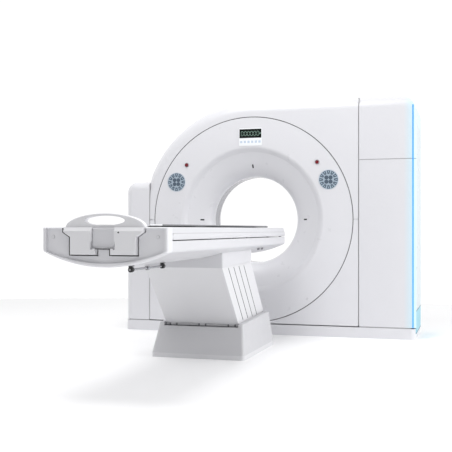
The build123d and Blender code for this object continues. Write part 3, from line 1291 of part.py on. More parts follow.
def base_frame():
    """Floor plate of the pedestal with two bearer plates and hinge lugs."""
    frame = base_hull(BASE_WALL) & block(-FAR, FAR, -FAR, FAR, 0, BASE_PLATE)
    front = HINGE_Y + SLAT_PITCH - 16
    rear = HINGE_Y + (SLATS + 1) * SLAT_PITCH + 30
    top = HINGE_Z + 16
    eye = SHAFT_R + BEARER_EYE
    outline = polygon((front, BASE_PLATE), (rear + 60, BASE_PLATE), (rear, top), (front, top))
    bearer = slab_x(outline, BEARER_INNER, BEARER_OUTER)
    for y, z in ((FRONT_ARM_Y, FRONT_ARM_Z), (REAR_ARM_Y, REAR_ARM_Z)):
        bearer += rod_x(BEARER_INNER, BEARER_OUTER, y, z, eye)
    for hole in bearer_holes(0, 0):
        bearer -= hole
    frame += bearer + mirrored(bearer)
    lug_w = KNUCKLE_LENGTH / 2 + 1
    for x in (-KNUCKLE_X, 0, KNUCKLE_X):
        for side in (-1, 1):
            a = x + side * (lug_w + 5)
            lug = block(a - 4.5, a + 4.5, HINGE_Y - 8, HINGE_Y + 14, BASE_PLATE, HINGE_Z)
            lug += rod_x(a - 4.5, a + 4.5, HINGE_Y, HINGE_Z, 7.5)
            frame += lug
    frame -= rod_x(-FAR, FAR, HINGE_Y, HINGE_Z, HINGE_ROD_R)
    parts["base_frame"] = frame


def base_hull(inset):
    """Drafted form of the base cover, up to the cheeks."""
    half = BASE_HALF - inset
    top_half = BASE_TOP_HALF - inset
    foot = Plane.XY.offset(BASE_TOE) * Pos(0, (BASE_FRONT_Y + BASE_REAR_Y) / 2) * RectangleRounded(
        2 * half, BASE_REAR_Y - BASE_FRONT_Y - 2 * inset, 22
    )
    top_z = BASE_CHEEK_REAR_Z + 4
    head = Plane.XY.offset(top_z) * Pos(0, (BASE_TOP_FRONT_Y + BASE_TOP_REAR_Y) / 2)
    head = head * RectangleRounded(
        2 * top_half, BASE_TOP_REAR_Y - BASE_TOP_FRONT_Y - 2 * inset, 22
    )
    toe = extrude(foot, amount=-BASE_TOE)
    return loft([foot, head]) + toe


def base_cover():
    """Moulded base: front lip, two cheeks that rise to the rear, open well between them."""
    hull = base_hull(0)
    slope = slab_x(
        polygon((BASE_TOP_FRONT_Y - 200, FAR), (BASE_TOP_FRONT_Y - 200, BASE_CHEEK_FRONT_Z - 5),
                (BASE_TOP_REAR_Y + 100, BASE_CHEEK_REAR_Z + 2), (BASE_TOP_REAR_Y + 100, FAR)),
        -FAR, FAR)
    hull -= slope
    cheeks = [e for e in hull.edges() if e.center().Z > BASE_CHEEK_FRONT_Z - 8]
    hull = fillet(cheeks, 8)
    hollow = base_hull(BASE_WALL) & block(-FAR, FAR, -FAR, FAR, -1, BASE_LIP_Z - BASE_WALL)
    cover = hull - hollow
    well_front = HINGE_Y - KNUCKLE_R - 1
    half = BASE_OPENING_HALF
    cover -= block(-half, half, well_front, WELL_REAR, BASE_TOE, FAR)
    cover -= block(-half, half, -FAR, well_front + 1, BASE_LIP_Z, FAR)
    parts["base_cover"] = cover


def lift_drive():
    """Geared lift motor in the base, behind the front arm's shaft."""
    y = (FRONT_ARM_Y + REAR_ARM_Y) / 2
    gearbox = block(-70, 70, y - 70, y + 60, BASE_PLATE, 120)
    gearbox = fillet(gearbox.edges().filter_by(Axis.Z), 16)
    motor = rod_x(70, 185, y, 70, 48)
    motor += rod_x(-120, -70, y, 70, 30)
    parts["lift_drive"] = gearbox + motor


def lift_head():
    """Head bearer plates under a cross plate, tied up to the table beams."""
    front = FRONT_ARM_Y + LINK_Y - 82
    rear = REAR_ARM_Y + LINK_Y + 56
    top = HEAD_PLATE_Z
    half = HEAD_HALF - HEAD_WALL
    head = block(-half, half, front, rear, top, top + HEAD_PLATE)
    head -= block(-90, 90, front + 70, rear - 70, top - 1, top + HEAD_PLATE + 1)
    riser = block(BEAM_INNER, half, front, rear, top + HEAD_PLATE, BEAM_BOTTOM)
    low = HINGE_Z + LINK_Z - 7
    outline = polygon((front, top), (front, low), (rear, low + 2), (rear, top))
    bearer = slab_x(outline, BEARER_INNER, BEARER_OUTER)
    for hole in bearer_holes(LINK_Y, LINK_Z):
        bearer -= hole
    parts["lift_head"] = head + riser + mirrored(riser) + bearer + mirrored(bearer)


def head_cover():
    """Collar under the body: near wall and two side walls."""
    half = HEAD_HALF
    top = BEAM_BOTTOM - 6
    outline = polygon((HEAD_FRONT_Y, HEAD_FRONT_Z), (HEAD_REAR_Y, HEAD_REAR_Z),
                      (HEAD_REAR_Y, top), (HEAD_FRONT_Y, top))
    collar = slab_x(outline, -half, half)
    corner = collar.edges().filter_by(Axis.Z).group_by(Axis.Y)[0]
    collar = fillet(corner, 10)
    well = half - HEAD_WALL
    collar -= block(-well, well, HEAD_FRONT_Y + HEAD_WALL, FAR, 0, FAR)
    parts["head_cover"] = collar


# Accessory rail


def accessory_rail():
    """Round rail below the foot end with a collar, and its two hooked brackets."""
    middle = (ROD_FRONT_Y + ROD_REAR_Y) / 2
    rail = rod_y(ROD_FRONT_Y, ROD_REAR_Y, ROD_X, ROD_Z, ROD_R)
    rail += rod_y(middle - 12, middle + 12, ROD_X, ROD_Z, ROD_R + 5)
    parts["accessory_rail"] = rail
    belly_r = (TABLE_HALF ** 2 + (BODY_CORNER_Z - BELLY_Z) ** 2) / (2 * (BODY_CORNER_Z - BELLY_Z))
    belly_at = BELLY_Z + belly_r - math.sqrt(belly_r ** 2 - (ROD_X - 14) ** 2)
    brackets = []
    for y in (ROD_FRONT_Y + 18, ROD_REAR_Y - 12):
        clamp = rod_y(y - 11, y + 11, ROD_X, ROD_Z, ROD_R + 7)
        clamp += block(ROD_X - 9, ROD_X + 9, y - 11, y + 11, ROD_Z, belly_at)
        brackets.append(clamp - rod_y(y - 12, y + 12, ROD_X, ROD_Z, ROD_R))
    parts["rail_brackets"] = Compound(children=brackets)


def build_gantry():
    """Every piece of the gantry."""
    housing_covers()
    front_round_cover()
    laser_windows()
    rear_funnel()
    bore_liner()
    display()
    control_panels()
    stop_buttons()
    tilt_frame()
    main_bearing()
    rotor_drum()
    xray_tube()
    detector()
    rotor_units()
    left_stand_cover()
    column_covers()
    plinth()
    stand_frames()
    tilt_drive()
    power_unit()


def build_table():
    """Every piece of the patient table."""
    table_body()
    side_rail_covers()
    foot_end_cover()
    handle_panel()
    cradle()
    carriage()
    table_frame()
    cradle_drive()
    side_slats()
    foot_side_panel()
    gantry_side_panel()
    lift_arms()
    base_frame()
    base_cover()
    lift_drive()
    lift_head()
    head_cover()
    accessory_rail()


def write_parts():
    """One STEP file for each piece."""
    os.makedirs("parts", exist_ok=True)
    for name, shape in parts.items():
        export_step(shape, f"parts/{name}.step")


build_gantry()
build_table()
write_parts()
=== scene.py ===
"""Looks of the computed tomography scanner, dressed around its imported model.

Lengths are in metres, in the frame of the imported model.
"""

import logging
import math
from collections.abc import Sequence
from dataclasses import dataclass
from enum import Enum

import bmesh
import bpy
from mathutils import Matrix, Vector

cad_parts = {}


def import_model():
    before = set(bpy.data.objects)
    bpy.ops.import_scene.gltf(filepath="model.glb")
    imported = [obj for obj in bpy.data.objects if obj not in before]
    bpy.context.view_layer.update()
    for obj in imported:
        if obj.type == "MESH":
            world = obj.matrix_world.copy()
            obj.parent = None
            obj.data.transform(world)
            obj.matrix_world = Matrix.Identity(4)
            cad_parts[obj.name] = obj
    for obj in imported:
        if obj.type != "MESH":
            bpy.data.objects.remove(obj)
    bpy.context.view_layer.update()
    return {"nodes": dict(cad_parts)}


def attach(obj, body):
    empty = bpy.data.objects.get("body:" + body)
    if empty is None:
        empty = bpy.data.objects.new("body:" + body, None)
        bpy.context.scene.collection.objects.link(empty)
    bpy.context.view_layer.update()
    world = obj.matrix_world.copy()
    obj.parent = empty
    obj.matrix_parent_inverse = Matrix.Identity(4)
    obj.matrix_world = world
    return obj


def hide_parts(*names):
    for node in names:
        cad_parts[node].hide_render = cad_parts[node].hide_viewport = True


LOG = logging.getLogger("ct_scanner")
Colour = tuple[float, float, float]
Point = tuple[float, float, float]
Outline = Sequence[tuple[float, float]]
Socket = bpy.types.NodeSocket

FRONT = Vector((0, -1, 0))  # towards the table's foot end
MOTTLE_SCALE = 2.5  # broad patches of a finish, in cycles a metre
MARK_SCALE = 14.0  # handling marks, in cycles a metre
RESIN_SCALE = 30.0  # cloudiness of the resin over the carbon, in cycles a metre
GLOSS_SWING = 0.15  # share by which the marks change the roughness
PAINT_DEPTH = 0.0006  # depth of the texture of paint and mouldings, in metres
LINE_DEPTH = 0.0004  # depth of the lines of drawn metal, in metres
LEAN = 0.2  # how far, in radians, a face of the front may lean
EDGE_ANGLE = math.radians(40)  # sharper edges are rounded
SMOOTH_ANGLE = math.radians(35)  # blunter edges are shaded smooth


class Body(Enum):
    """Rigid bodies that the new pieces ride on."""

    FLOOR = "floor"
    GANTRY = "gantry"
    TABLE = "table"
    CRADLE = "cradle"
    FOOT_PANEL = "foot_panel"
    SLAT_1 = "slat_1"
    SLAT_2 = "slat_2"
    SLAT_3 = "slat_3"


class Along(Enum):
    """Directions of the frame, by their place in a vector."""

    X = 0
    Y = 1
    Z = 2


# Finishes


class Shading:
    """A material's node tree, with the object coordinates that its textures read."""

    def __init__(self, tree: bpy.types.NodeTree) -> None:
        """Open the tree.

        Args:
            tree: Node tree of the material.
        """
        self.tree = tree
        self.place = tree.nodes.new("ShaderNodeTexCoord").outputs["Object"]

    def link(self, value: Socket, to: Socket) -> None:
        """Feed a value to a socket."""
        self.tree.links.new(value, to)

    def noise(self, scale: float, detail: float = 3.0, place: Socket | None = None) -> Socket:
        """Noise over the piece.

        Args:
            scale: Cycles a metre.
            detail: Octaves.
            place: Socket with the coordinates, where they aren't the object's own.

        Returns:
            Socket with values from 0 to 1.
        """
        node = self.tree.nodes.new("ShaderNodeTexNoise")
        node.inputs["Scale"].default_value = scale
        node.inputs["Detail"].default_value = detail
        self.link(self.place if place is None else place, node.inputs["Vector"])
        return node.outputs["Fac"]

    def blend(self, share: Socket, low: Colour | Socket, high: Colour | Socket) -> Socket:
        """Mix of two colours.

        Args:
            share: Socket that goes from 0, low, to 1, high.
            low: First colour, or a socket with it.
            high: Second colour, or a socket with it.

        Returns:
            Socket with the mixed colour.
        """
        node = self.tree.nodes.new("ShaderNodeMix")
        node.data_type = "RGBA"
        for slot, colour in ((6, low), (7, high)):
            if isinstance(colour, tuple):
                node.inputs[slot].default_value = (*colour, 1.0)
            else:
                self.link(colour, node.inputs[slot])
        self.link(share, node.inputs[0])
        return node.outputs[2]

    def ramp(self, value: Socket, start: float, end: float, low: float = 0.0,
             high: float = 1.0) -> Socket:
        """Value carried from one range to another and held at its ends.

        Args:
            value: Socket to read.
            start: Input that gives the low output.
            end: Input that gives the high output.
            low: Output at the start.
            high: Output at the end.

        Returns:
            Socket with the result.
        """
        node = self.tree.nodes.new("ShaderNodeMapRange")
        node.inputs["From Min"].default_value = start
        node.inputs["From Max"].default_value = end
        node.inputs["To Min"].default_value = low
        node.inputs["To Max"].default_value = high
        self.link(value, node.inputs["Value"])
        return node.outputs["Result"]

    def part(self, along: Along) -> Socket:
        """One of the object coordinates.

        Args:
            along: Which one.

        Returns:
            Socket with it, in metres.
        """
        node = self.tree.nodes.new("ShaderNodeSeparateXYZ")
        self.link(self.place, node.inputs["Vector"])
        return node.outputs[along.value]

    def relief(self, height: Socket, strength: float, depth: float) -> Socket:
        """Bump from a height.

        Args:
            height: Socket with the height, from 0 to 1.
            strength: Strength of the bump.
            depth: Full depth, in metres.

        Returns:
            Socket with the bent normal.
        """
        node = self.tree.nodes.new("ShaderNodeBump")
        node.inputs["Strength"].default_value = strength
        node.inputs["Distance"].default_value = depth
        self.link(height, node.inputs["Height"])
        return node.outputs["Normal"]


@dataclass(frozen=True)
class Finish:
    """A painted, moulded or metal surface with its fine texture.

    Attributes:
        name: Name of the material.
        colour: Linear base colour.
        roughness: Middle value of the roughness.
        metallic: 1 for bare metal, 0 for the rest.
        mottle: Share by which the colour wanders, in broad soft patches.
        grain: Scale of the fine surface texture, in cycles a metre.
        relief: Strength of the fine texture's bump.
        coat: Weight of a clear coat.
        specular: Level of the plain reflection.
    """

    name: str
    colour: Colour
    roughness: float = 0.35
    metallic: float = 0.0
    mottle: float = 0.02
    grain: float = 900.0
    relief: float = 0.04
    coat: float = 0.0
    specular: float = 0.5

    def build(self) -> bpy.types.Material:
        """Make the material.

        Returns:
            The finished material.
        """
        material = bpy.data.materials.new(self.name)
        material.use_nodes = True
        material.diffuse_color = (*self.colour, 1.0)
        shader = material.node_tree.nodes["Principled BSDF"]
        work = Shading(material.node_tree)
        work.link(self.tone(work), shader.inputs["Base Color"])
        work.link(self.gloss(work), shader.inputs["Roughness"])
        work.link(self.bump(work), shader.inputs["Normal"])
        shader.inputs["Metallic"].default_value = self.metallic
        shader.inputs["Coat Weight"].default_value = self.coat
        shader.inputs["Specular IOR Level"].default_value = self.specular
        self.extras(work, shader)
        return material

    def tone(self, work: Shading) -> Socket:
        """Base colour with its soft variation.

        Args:
            work: The material's nodes.

        Returns:
            Socket with the colour.
        """
        dark = tuple(c * (1 - self.mottle) for c in self.colour)
        pale = tuple(min(1.0, c * (1 + self.mottle)) for c in self.colour)
        return work.blend(work.noise(MOTTLE_SCALE), dark, pale)

    def gloss(self, work: Shading) -> Socket:
        """Roughness with faint handling marks.

        Args:
            work: The material's nodes.

        Returns:
            Socket with the roughness.
        """
        low = self.roughness * (1 - GLOSS_SWING)
        high = self.roughness * (1 + GLOSS_SWING)
        return work.ramp(work.noise(MARK_SCALE, detail=5.0), 0.2, 0.8, low, high)

    def bump(self, work: Shading) -> Socket:
        """Fine relief, such as the orange peel of sprayed paint."""
        return work.relief(work.noise(self.grain, detail=2.0), self.relief, PAINT_DEPTH)

    def extras(self, work: Shading, shader: bpy.types.Node) -> None:
        """What a special finish adds; a plain one adds nothing."""


@dataclass(frozen=True)
class Banded(Finish):
    """A finish that turns to a second colour past a level.

    Attributes:
        second: Colour beyond the level.
        along: Direction in which the level is measured.
        level: Where the second colour starts, in metres.
        soft: Length of the change, in metres.
    """

    second: Colour = (0.5, 0.5, 0.5)
    along: Along = Along.Z
    level: float = 0.0
    soft: float = 0.001

    def banded(self, work: Shading, first: Socket) -> Socket:
        """First colour that turns to the second at the level.

        Args:
            work: The material's nodes.
            first: Socket with the colour before the level.

        Returns:
            Socket with the colour.
        """
        share = work.ramp(work.part(self.along), self.level, self.level + self.soft)
        return work.blend(share, first, self.second)

    def tone(self, work: Shading) -> Socket:
        """Base colour that changes at the level."""
        return self.banded(work, super().tone(work))


@dataclass(frozen=True)
class Lit(Finish):
    """A light guide that glows, softer towards its top.

    Attributes:
        glow: Colour of the light.
        strength: Strength of the light.
        fade_from: Height where the light starts to fade.
        fade_to: Height where it is weakest.
        faded: Share of the strength that is left there.
    """

    glow: Colour = (0.3, 0.6, 1.0)
    strength: float = 1.0
    fade_from: float = 1.2
    fade_to: float = 1.8
    faded: float = 0.35

    def extras(self, work: Shading, shader: bpy.types.Node) -> None:
        """Light from inside the guide.

        Args:
            work: The material's nodes.
            shader: The material's shader.
        """
        power = work.ramp(work.part(Along.Z), self.fade_from, self.fade_to,
                          self.strength, self.strength * self.faded)
        shader.inputs["Emission Color"].default_value = (*self.glow, 1.0)
        work.link(power, shader.inputs["Emission Strength"])


@dataclass(frozen=True)
class Woven(Banded):
    """Carbon laminate, fine crossed tows under a clear resin, with an end fitting past a level.

    Attributes:
        tow: Width of a tow, in metres.
        contrast: Share by which the crossed tows differ from the colour.
    """

    tow: float = 0.004
    contrast: float = 0.3

    def tone(self, work: Shading) -> Socket:
        """Checks of darker and paler tows.

        Args:
            work: The material's nodes.

        Returns:
            Socket with the colour.
        """
        checks = work.tree.nodes.new("ShaderNodeTexChecker")
        checks.inputs["Scale"].default_value = 1 / self.tow
        for socket, share in (("Color1", 1 - self.contrast), ("Color2", 1 + self.contrast)):
            checks.inputs[socket].default_value = (*(c * share for c in self.colour), 1.0)
        work.link(work.place, checks.inputs["Vector"])
        weave = work.blend(work.noise(RESIN_SCALE), checks.outputs["Color"], self.colour)
        return self.banded(work, weave)


@dataclass(frozen=True)
class Drawn(Finish):
    """Metal with fine lines along one direction.

    Attributes:
        along: Direction of the lines.
        stretch: Length of a line, as a multiple of its width.
    """

    along: Along = Along.X
    stretch: float = 60.0

    def bump(self, work: Shading) -> Socket:
        """Relief of long fine lines.

        Args:
            work: The material's nodes.

        Returns:
            Socket with the bent normal.
        """
        drawn = work.tree.nodes.new("ShaderNodeMapping")
        scale = [self.grain, self.grain, self.grain]
        scale[self.along.value] = self.grain / self.stretch
        drawn.inputs["Scale"].default_value = scale
        work.link(work.place, drawn.inputs["Vector"])
        lines = work.noise(1.0, detail=2.0, place=drawn.outputs["Vector"])
        return work.relief(lines, self.relief, LINE_DEPTH)


COVER = Finish("cover_white_paint", (0.70, 0.70, 0.73), 0.32, relief=0.05, mottle=0.012)
# Soft cyan towards the column's right edge, beside the lit strip: painted glow of the strip on the
# white paint.
COLUMN = Banded("column_white_paint_and_painted_strip_glow", (0.68, 0.68, 0.71), 0.32, relief=0.05, mottle=0.012,
                second=(0.56, 0.76, 0.85), along=Along.X, level=1.21, soft=0.075)
ROUND_COVER = Finish("round_cover_paint", (0.71, 0.71, 0.74), 0.30, relief=0.05, mottle=0.012)
# Dark ring in the seam round the front round cover: painted seam shade.
SEAM_SHADE = Finish("painted_round_seam_shade", (0.16, 0.16, 0.165), 0.6, grain=500.0, relief=0.2)
# Grey for strips of painted shade in the stands' seams and along the table's crease, and for the
# end screw washers.
SEAM_SHADE_AND_WASHER_GREY = Finish("painted_seam_shade_and_washer_grey", (0.42, 0.42, 0.43), 0.6, grain=500.0, relief=0.2)
TABLE_COVER = Finish("table_cover_paint", (0.62, 0.62, 0.645), 0.34, relief=0.06, mottle=0.015)
END_RIM = Finish("foot_end_paint", (0.72, 0.72, 0.75), 0.36, relief=0.06, mottle=0.015)
HANDLE = Finish("handle_white_moulding", (0.76, 0.76, 0.785), 0.34, relief=0.05, mottle=0.01)
SLAT = Finish("slat_paint", (0.68, 0.68, 0.70), 0.40, grain=700.0, relief=0.08, mottle=0.015)
# Black for the painted shadow round the handle panel and for the slat groove blades, which are
# partly rubber and partly painted slot shade.
RUBBER_AND_SHADOW_BLACK = Finish("black_rubber_and_painted_shadow", (0.02, 0.02, 0.022), 0.7, grain=500.0, relief=0.2)
BASE_COVER = Banded("base_cover_moulding", (0.66, 0.66, 0.68), 0.42, grain=500.0, relief=0.12,
                    second=(0.55, 0.55, 0.57), along=Along.Z, level=0.027, soft=0.004)
PLINTH = Finish("plinth_paint", (0.70, 0.70, 0.73), 0.42, grain=600.0, relief=0.10)
BORE_WINDOW = Finish("bore_window_film", (0.30, 0.30, 0.33), 0.22, mottle=0.01, coat=0.3)
BEZEL = Banded("display_bezel_moulding", (0.55, 0.64, 0.76), 0.3, second=(0.86, 0.88, 0.90),
               along=Along.Y, level=-0.24285, soft=0.0001)
DISPLAY_GLASS = Finish("display_black_glass", (0.004, 0.007, 0.006), 0.3, relief=0.0,
                       specular=0.15)
DISC_BODY = Finish("control_disc_body", (0.37, 0.45, 0.53), 0.45, grain=700.0, relief=0.10)
DISC_RIM = Finish("control_disc_rim", (0.60, 0.64, 0.70), 0.32, relief=0.05)
KEY_DARK = Finish("control_key_film", (0.075, 0.105, 0.145), 0.40, grain=800.0, relief=0.08)
KEY_MARK = Finish("control_key_mark", (0.42, 0.54, 0.64), 0.5, relief=0.02)
BUTTON_RED = Finish("stop_button_red", (0.17, 0.008, 0.016), 0.28, coat=0.4)
BUTTON_COLLAR = Finish("stop_button_collar", (0.30, 0.30, 0.32), 0.3)
LASER_GLASS = Finish("laser_window_glass", (0.012, 0.012, 0.016), 0.15, coat=0.5, relief=0.0)
STRIP = Lit("column_strip_light", (0.03, 0.30, 0.72), 0.25, glow=(0.02, 0.26, 0.80),
            strength=0.5)
SIDE_PANEL = Banded("column_side_film", (0.16, 0.50, 0.62), 0.30, second=(0.53, 0.60, 0.63),
                    along=Along.Z, level=0.216, soft=0.004)
KICK_TRIM = Finish("kick_trim_teal", (0.008, 0.15, 0.24), 0.35)
CRADLE = Woven("cradle_carbon_laminate", (0.17, 0.175, 0.185), 0.38, coat=0.35, relief=0.05,
               second=(0.78, 0.78, 0.80), along=Along.Y, level=-2.736, soft=-0.001)
LEVER = Finish("lever_moulding", (0.66, 0.66, 0.69), 0.38, relief=0.08)
BLACK = Finish("black_moulding", (0.018, 0.018, 0.020), 0.48, grain=600.0, relief=0.15)
RAIL_STEEL = Drawn("rail_steel", (0.42, 0.42, 0.44), 0.24, metallic=1.0, relief=0.12,
                   along=Along.Y)
GROUND_STEEL = Drawn("ground_steel", (0.55, 0.55, 0.57), 0.28, metallic=1.0, grain=1200.0,
                     relief=0.12)
FRAME_PAINT = Finish("frame_powder_coat", (0.20, 0.205, 0.22), 0.5, grain=450.0, relief=0.22)
CAST_METAL = Finish("cast_aluminium", (0.60, 0.61, 0.63), 0.46, metallic=1.0, grain=260.0,
                    relief=0.3)
BRASS = Finish("contact_brass", (0.66, 0.46, 0.18), 0.25, metallic=1.0)
DIGIT_LIT = Lit("digit_lit", (0.16, 0.24, 0.20), 0.4, glow=(0.30, 0.55, 0.42), strength=0.2,
                faded=1.0)
DIGIT_OFF = Finish("digit_off", (0.005, 0.009, 0.008), 0.3, relief=0.0, specular=0.15)
FLOOR_PAINT = Finish("studio_floor_paint", (0.92, 0.92, 0.925), 0.65, mottle=0.004, relief=0.0)


# Bench work


class Bench:
    """Modelling moves that every sub-assembly shares."""

    def __init__(self, nodes: dict[str, bpy.types.Object]) -> None:
        """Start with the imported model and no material.

        Args:
            nodes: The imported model's nodes by name.
        """
        self.nodes = nodes
        self.mixed: dict[str, bpy.types.Material] = {}

    def material(self, finish: Finish) -> bpy.types.Material:
        """Material of a finish, built on its first use.

        Args:
            finish: The finish.

        Returns:
            Its material.
        """
        if finish.name not in self.mixed:
            self.mixed[finish.name] = finish.build()
        return self.mixed[finish.name]

    def paint(self, finish: Finish, *names: str) -> None:
        """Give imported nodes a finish.

        Args:
            finish: The finish.
            *names: The nodes.
        """
        for name in names:
            mesh = self.nodes[name].data
            mesh.materials.clear()
            mesh.materials.append(self.material(finish))
            LOG.info("%s: %s", name, finish.name)

    def clear(self) -> None:
        """Leave edit mode and deselect everything."""
        if bpy.context.object and bpy.context.object.mode != "OBJECT":
            bpy.ops.object.mode_set(mode="OBJECT")
        bpy.ops.object.select_all(action="DESELECT")

    def hold(self, *pieces: bpy.types.Object) -> None:
        """Select pieces and nothing else, with the first one active.

        Args:
            *pieces: The pieces.
        """
        self.clear()
        for piece in pieces:
            piece.select_set(True)
        bpy.context.view_layer.objects.active = pieces[0]

    def fresh(self, scale: Point = (1, 1, 1)) -> bpy.types.Object:
        """The object just added, with its place, turn and size moved into its mesh.

        Args:
            scale: Size to give it first, as shares of its own.

        Returns:
            The object, active and alone in the selection.
        """
        piece = bpy.context.object
        piece.scale = scale
        bpy.ops.object.transform_apply(location=True, rotation=True, scale=True)
        return piece

    def drum(self, radius: float, depth: float, at: Point, sides: int = 64) -> bpy.types.Object:
        """Cylinder whose axis runs along Y.

        Args:
            radius: Radius.
            depth: Length along Y.
            at: Centre.
            sides: Faces round it.

        Returns:
            The new object.
        """
        self.clear()
        bpy.ops.mesh.primitive_cylinder_add(
            vertices=sides, radius=radius, depth=depth, location=at, rotation=(math.pi / 2, 0, 0)
        )
        return self.fresh()

    def bar(self, size: Point, at: Point) -> bpy.types.Object:
        """Block of a size at a place.

        Args:
            size: Lengths along X, Y and Z.
            at: Centre.

        Returns:
            The new object.
        """
        self.clear()
        bpy.ops.mesh.primitive_cube_add(size=1.0, location=at)
        return self.fresh(size)

    def ring(self, radius: float, thickness: float, at: Point, sides: int = 64,
             section: int = 12, flat: float = 1.0) -> bpy.types.Object:
        """Torus whose axis runs along Y.

        Args:
            radius: Radius of its middle circle.
            thickness: Radius of its section.
            at: Centre.
            sides: Segments round it.
            section: Segments round its section.
            flat: Share of the section's depth along Y that is kept.

        Returns:
            The new object.
        """
        self.clear()
        bpy.ops.mesh.primitive_torus_add(
            major_radius=radius, minor_radius=thickness, major_segments=sides,
            minor_segments=section, location=at, rotation=(math.pi / 2, 0, 0)
        )
        return self.fresh((1, 1, flat))

    def edging(self, corners: Outline, width: float, depth: float, y: float) -> bpy.types.Object:
        """Flat strip that runs from corner to corner, facing the table's foot.

        Args:
            corners: Its corners in X and Z.
            width: Width across its run.
            depth: Thickness along Y.
            y: Middle of its thickness.

        Returns:
            The joined strip.
        """
        runs = []
        for (x0, z0), (x1, z1) in zip(corners, corners[1:]):
            length = math.hypot(x1 - x0, z1 - z0)
            run = self.bar((length + width, depth, width), (0, 0, 0))
            turn = Matrix.Rotation(-math.atan2(z1 - z0, x1 - x0), 4, "Y")
            run.data.transform(Matrix.Translation(((x0 + x1) / 2, y, (z0 + z1) / 2)) @ turn)
            runs.append(run)
        self.hold(*runs)
        bpy.ops.object.join()
        return runs[0]

    def step(self, piece: bpy.types.Object, margin: float, drop: float) -> None:
        """Inset the piece's front and push the middle in.

        Args:
            piece: Object to edit.
            margin: Width of the rim that is left.
            drop: Depth of the middle.
        """
        self.hold(piece)
        bpy.ops.object.mode_set(mode="EDIT")
        bpy.ops.mesh.select_mode(type="FACE")
        mesh = bmesh.from_edit_mesh(piece.data)
        for face in mesh.faces:
            face.select = face.normal.angle(FRONT) < LEAN
        bmesh.update_edit_mesh(piece.data)
        bpy.ops.mesh.inset(thickness=margin)
        bpy.ops.transform.translate(value=FRONT * -drop)
        bpy.ops.object.mode_set(mode="OBJECT")

    def soften(self, piece: bpy.types.Object, width: float, segments: int = 2) -> None:
        """Round the piece's sharp edges.

        Args:
            piece: Object to round.
            width: Width of the rounding.
            segments: Faces across it.
        """
        self.hold(piece)
        bevel = piece.modifiers.new("edge", "BEVEL")
        bevel.width = width
        bevel.segments = segments
        bevel.limit_method = "ANGLE"
        bevel.angle_limit = EDGE_ANGLE
        bpy.ops.object.modifier_apply(modifier=bevel.name)

    def copies(self, piece: bpy.types.Object, moves: list[Matrix]) -> bpy.types.Object:
        """Copy a piece to several places and join the copies in one mesh.

        Args:
            piece: The model piece, which is removed afterwards.
            moves: Where each copy goes, from the model piece's own place.

        Returns:
            The joined object.
        """
        self.clear()
        made = []
        for move in moves:
            twin = piece.copy()
            twin.data = piece.data.copy()
            twin.data.transform(move)
            bpy.context.scene.collection.objects.link(twin)
            made.append(twin)
        bpy.data.objects.remove(piece)
        self.hold(*made)
        bpy.ops.object.join()
        return made[0]

    def settle(self, piece: bpy.types.Object, name: str, body: Body, finish: Finish,
               slot: str) -> bpy.types.Object:
        """Name, paint and smooth a finished piece and let it ride on its body.

        Args:
            piece: The finished piece.
            name: Its name.
            body: Body that it rides on.
            finish: Its finish.
            slot: Material slot of the record that it belongs to; not used.

        Returns:
            The same piece.
        """
        piece.name = name
        piece.data.name = name
        self.hold(piece)
        bpy.ops.object.shade_smooth_by_angle(angle=SMOOTH_ANGLE)
        piece.data.materials.append(self.material(finish))
        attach(piece, body.value)
        LOG.info("%s rides on %s", name, body.value)
        return piece


def turn_about(x: float, z: float, degrees: float) -> Matrix:
    """Turn about an axis along Y, clockwise as seen from the table.

    Args:
        x: Place of the axis.
        z: Height of the axis.
        degrees: Angle.

    Returns:
        The turn.
    """
    there = Matrix.Translation((x, 0, z))
    return there @ Matrix.Rotation(math.radians(degrees), 4, "Y") @ there.inverted()


def both_sides(x: float) -> tuple[tuple[str, float], ...]:
    """Left and right, each with its place along X."""
    return ("left", -x), ("right", x)


@dataclass(frozen=True)
class Assembly:
    """A sub-assembly, with the bench that it is dressed on."""

    bench: Bench

    def build(self) -> None:
        """Dress the sub-assembly."""


# Studio


@dataclass(frozen=True)
class Lamp:
    """Square soft light aimed at a point.

    Attributes:
        name: Its name.
        power: Watts.
        size: Side of the square.
        at: Its place.
        to: The point it faces.
    """

    name: str
    power: float
    size: float
    at: Point
    to: Point

    def build(self) -> None:
        """Hang the lamp in the scene."""
        data = bpy.data.lights.new(self.name, "AREA")
        data.energy = self.power
        data.size = self.size
        lamp = bpy.data.objects.new(self.name, data)
        lamp.location = self.at
        way = Vector(self.to) - Vector(self.at)
        lamp.rotation_euler = way.to_track_quat("-Z", "Y").to_euler()
        bpy.context.scene.collection.objects.link(lamp)


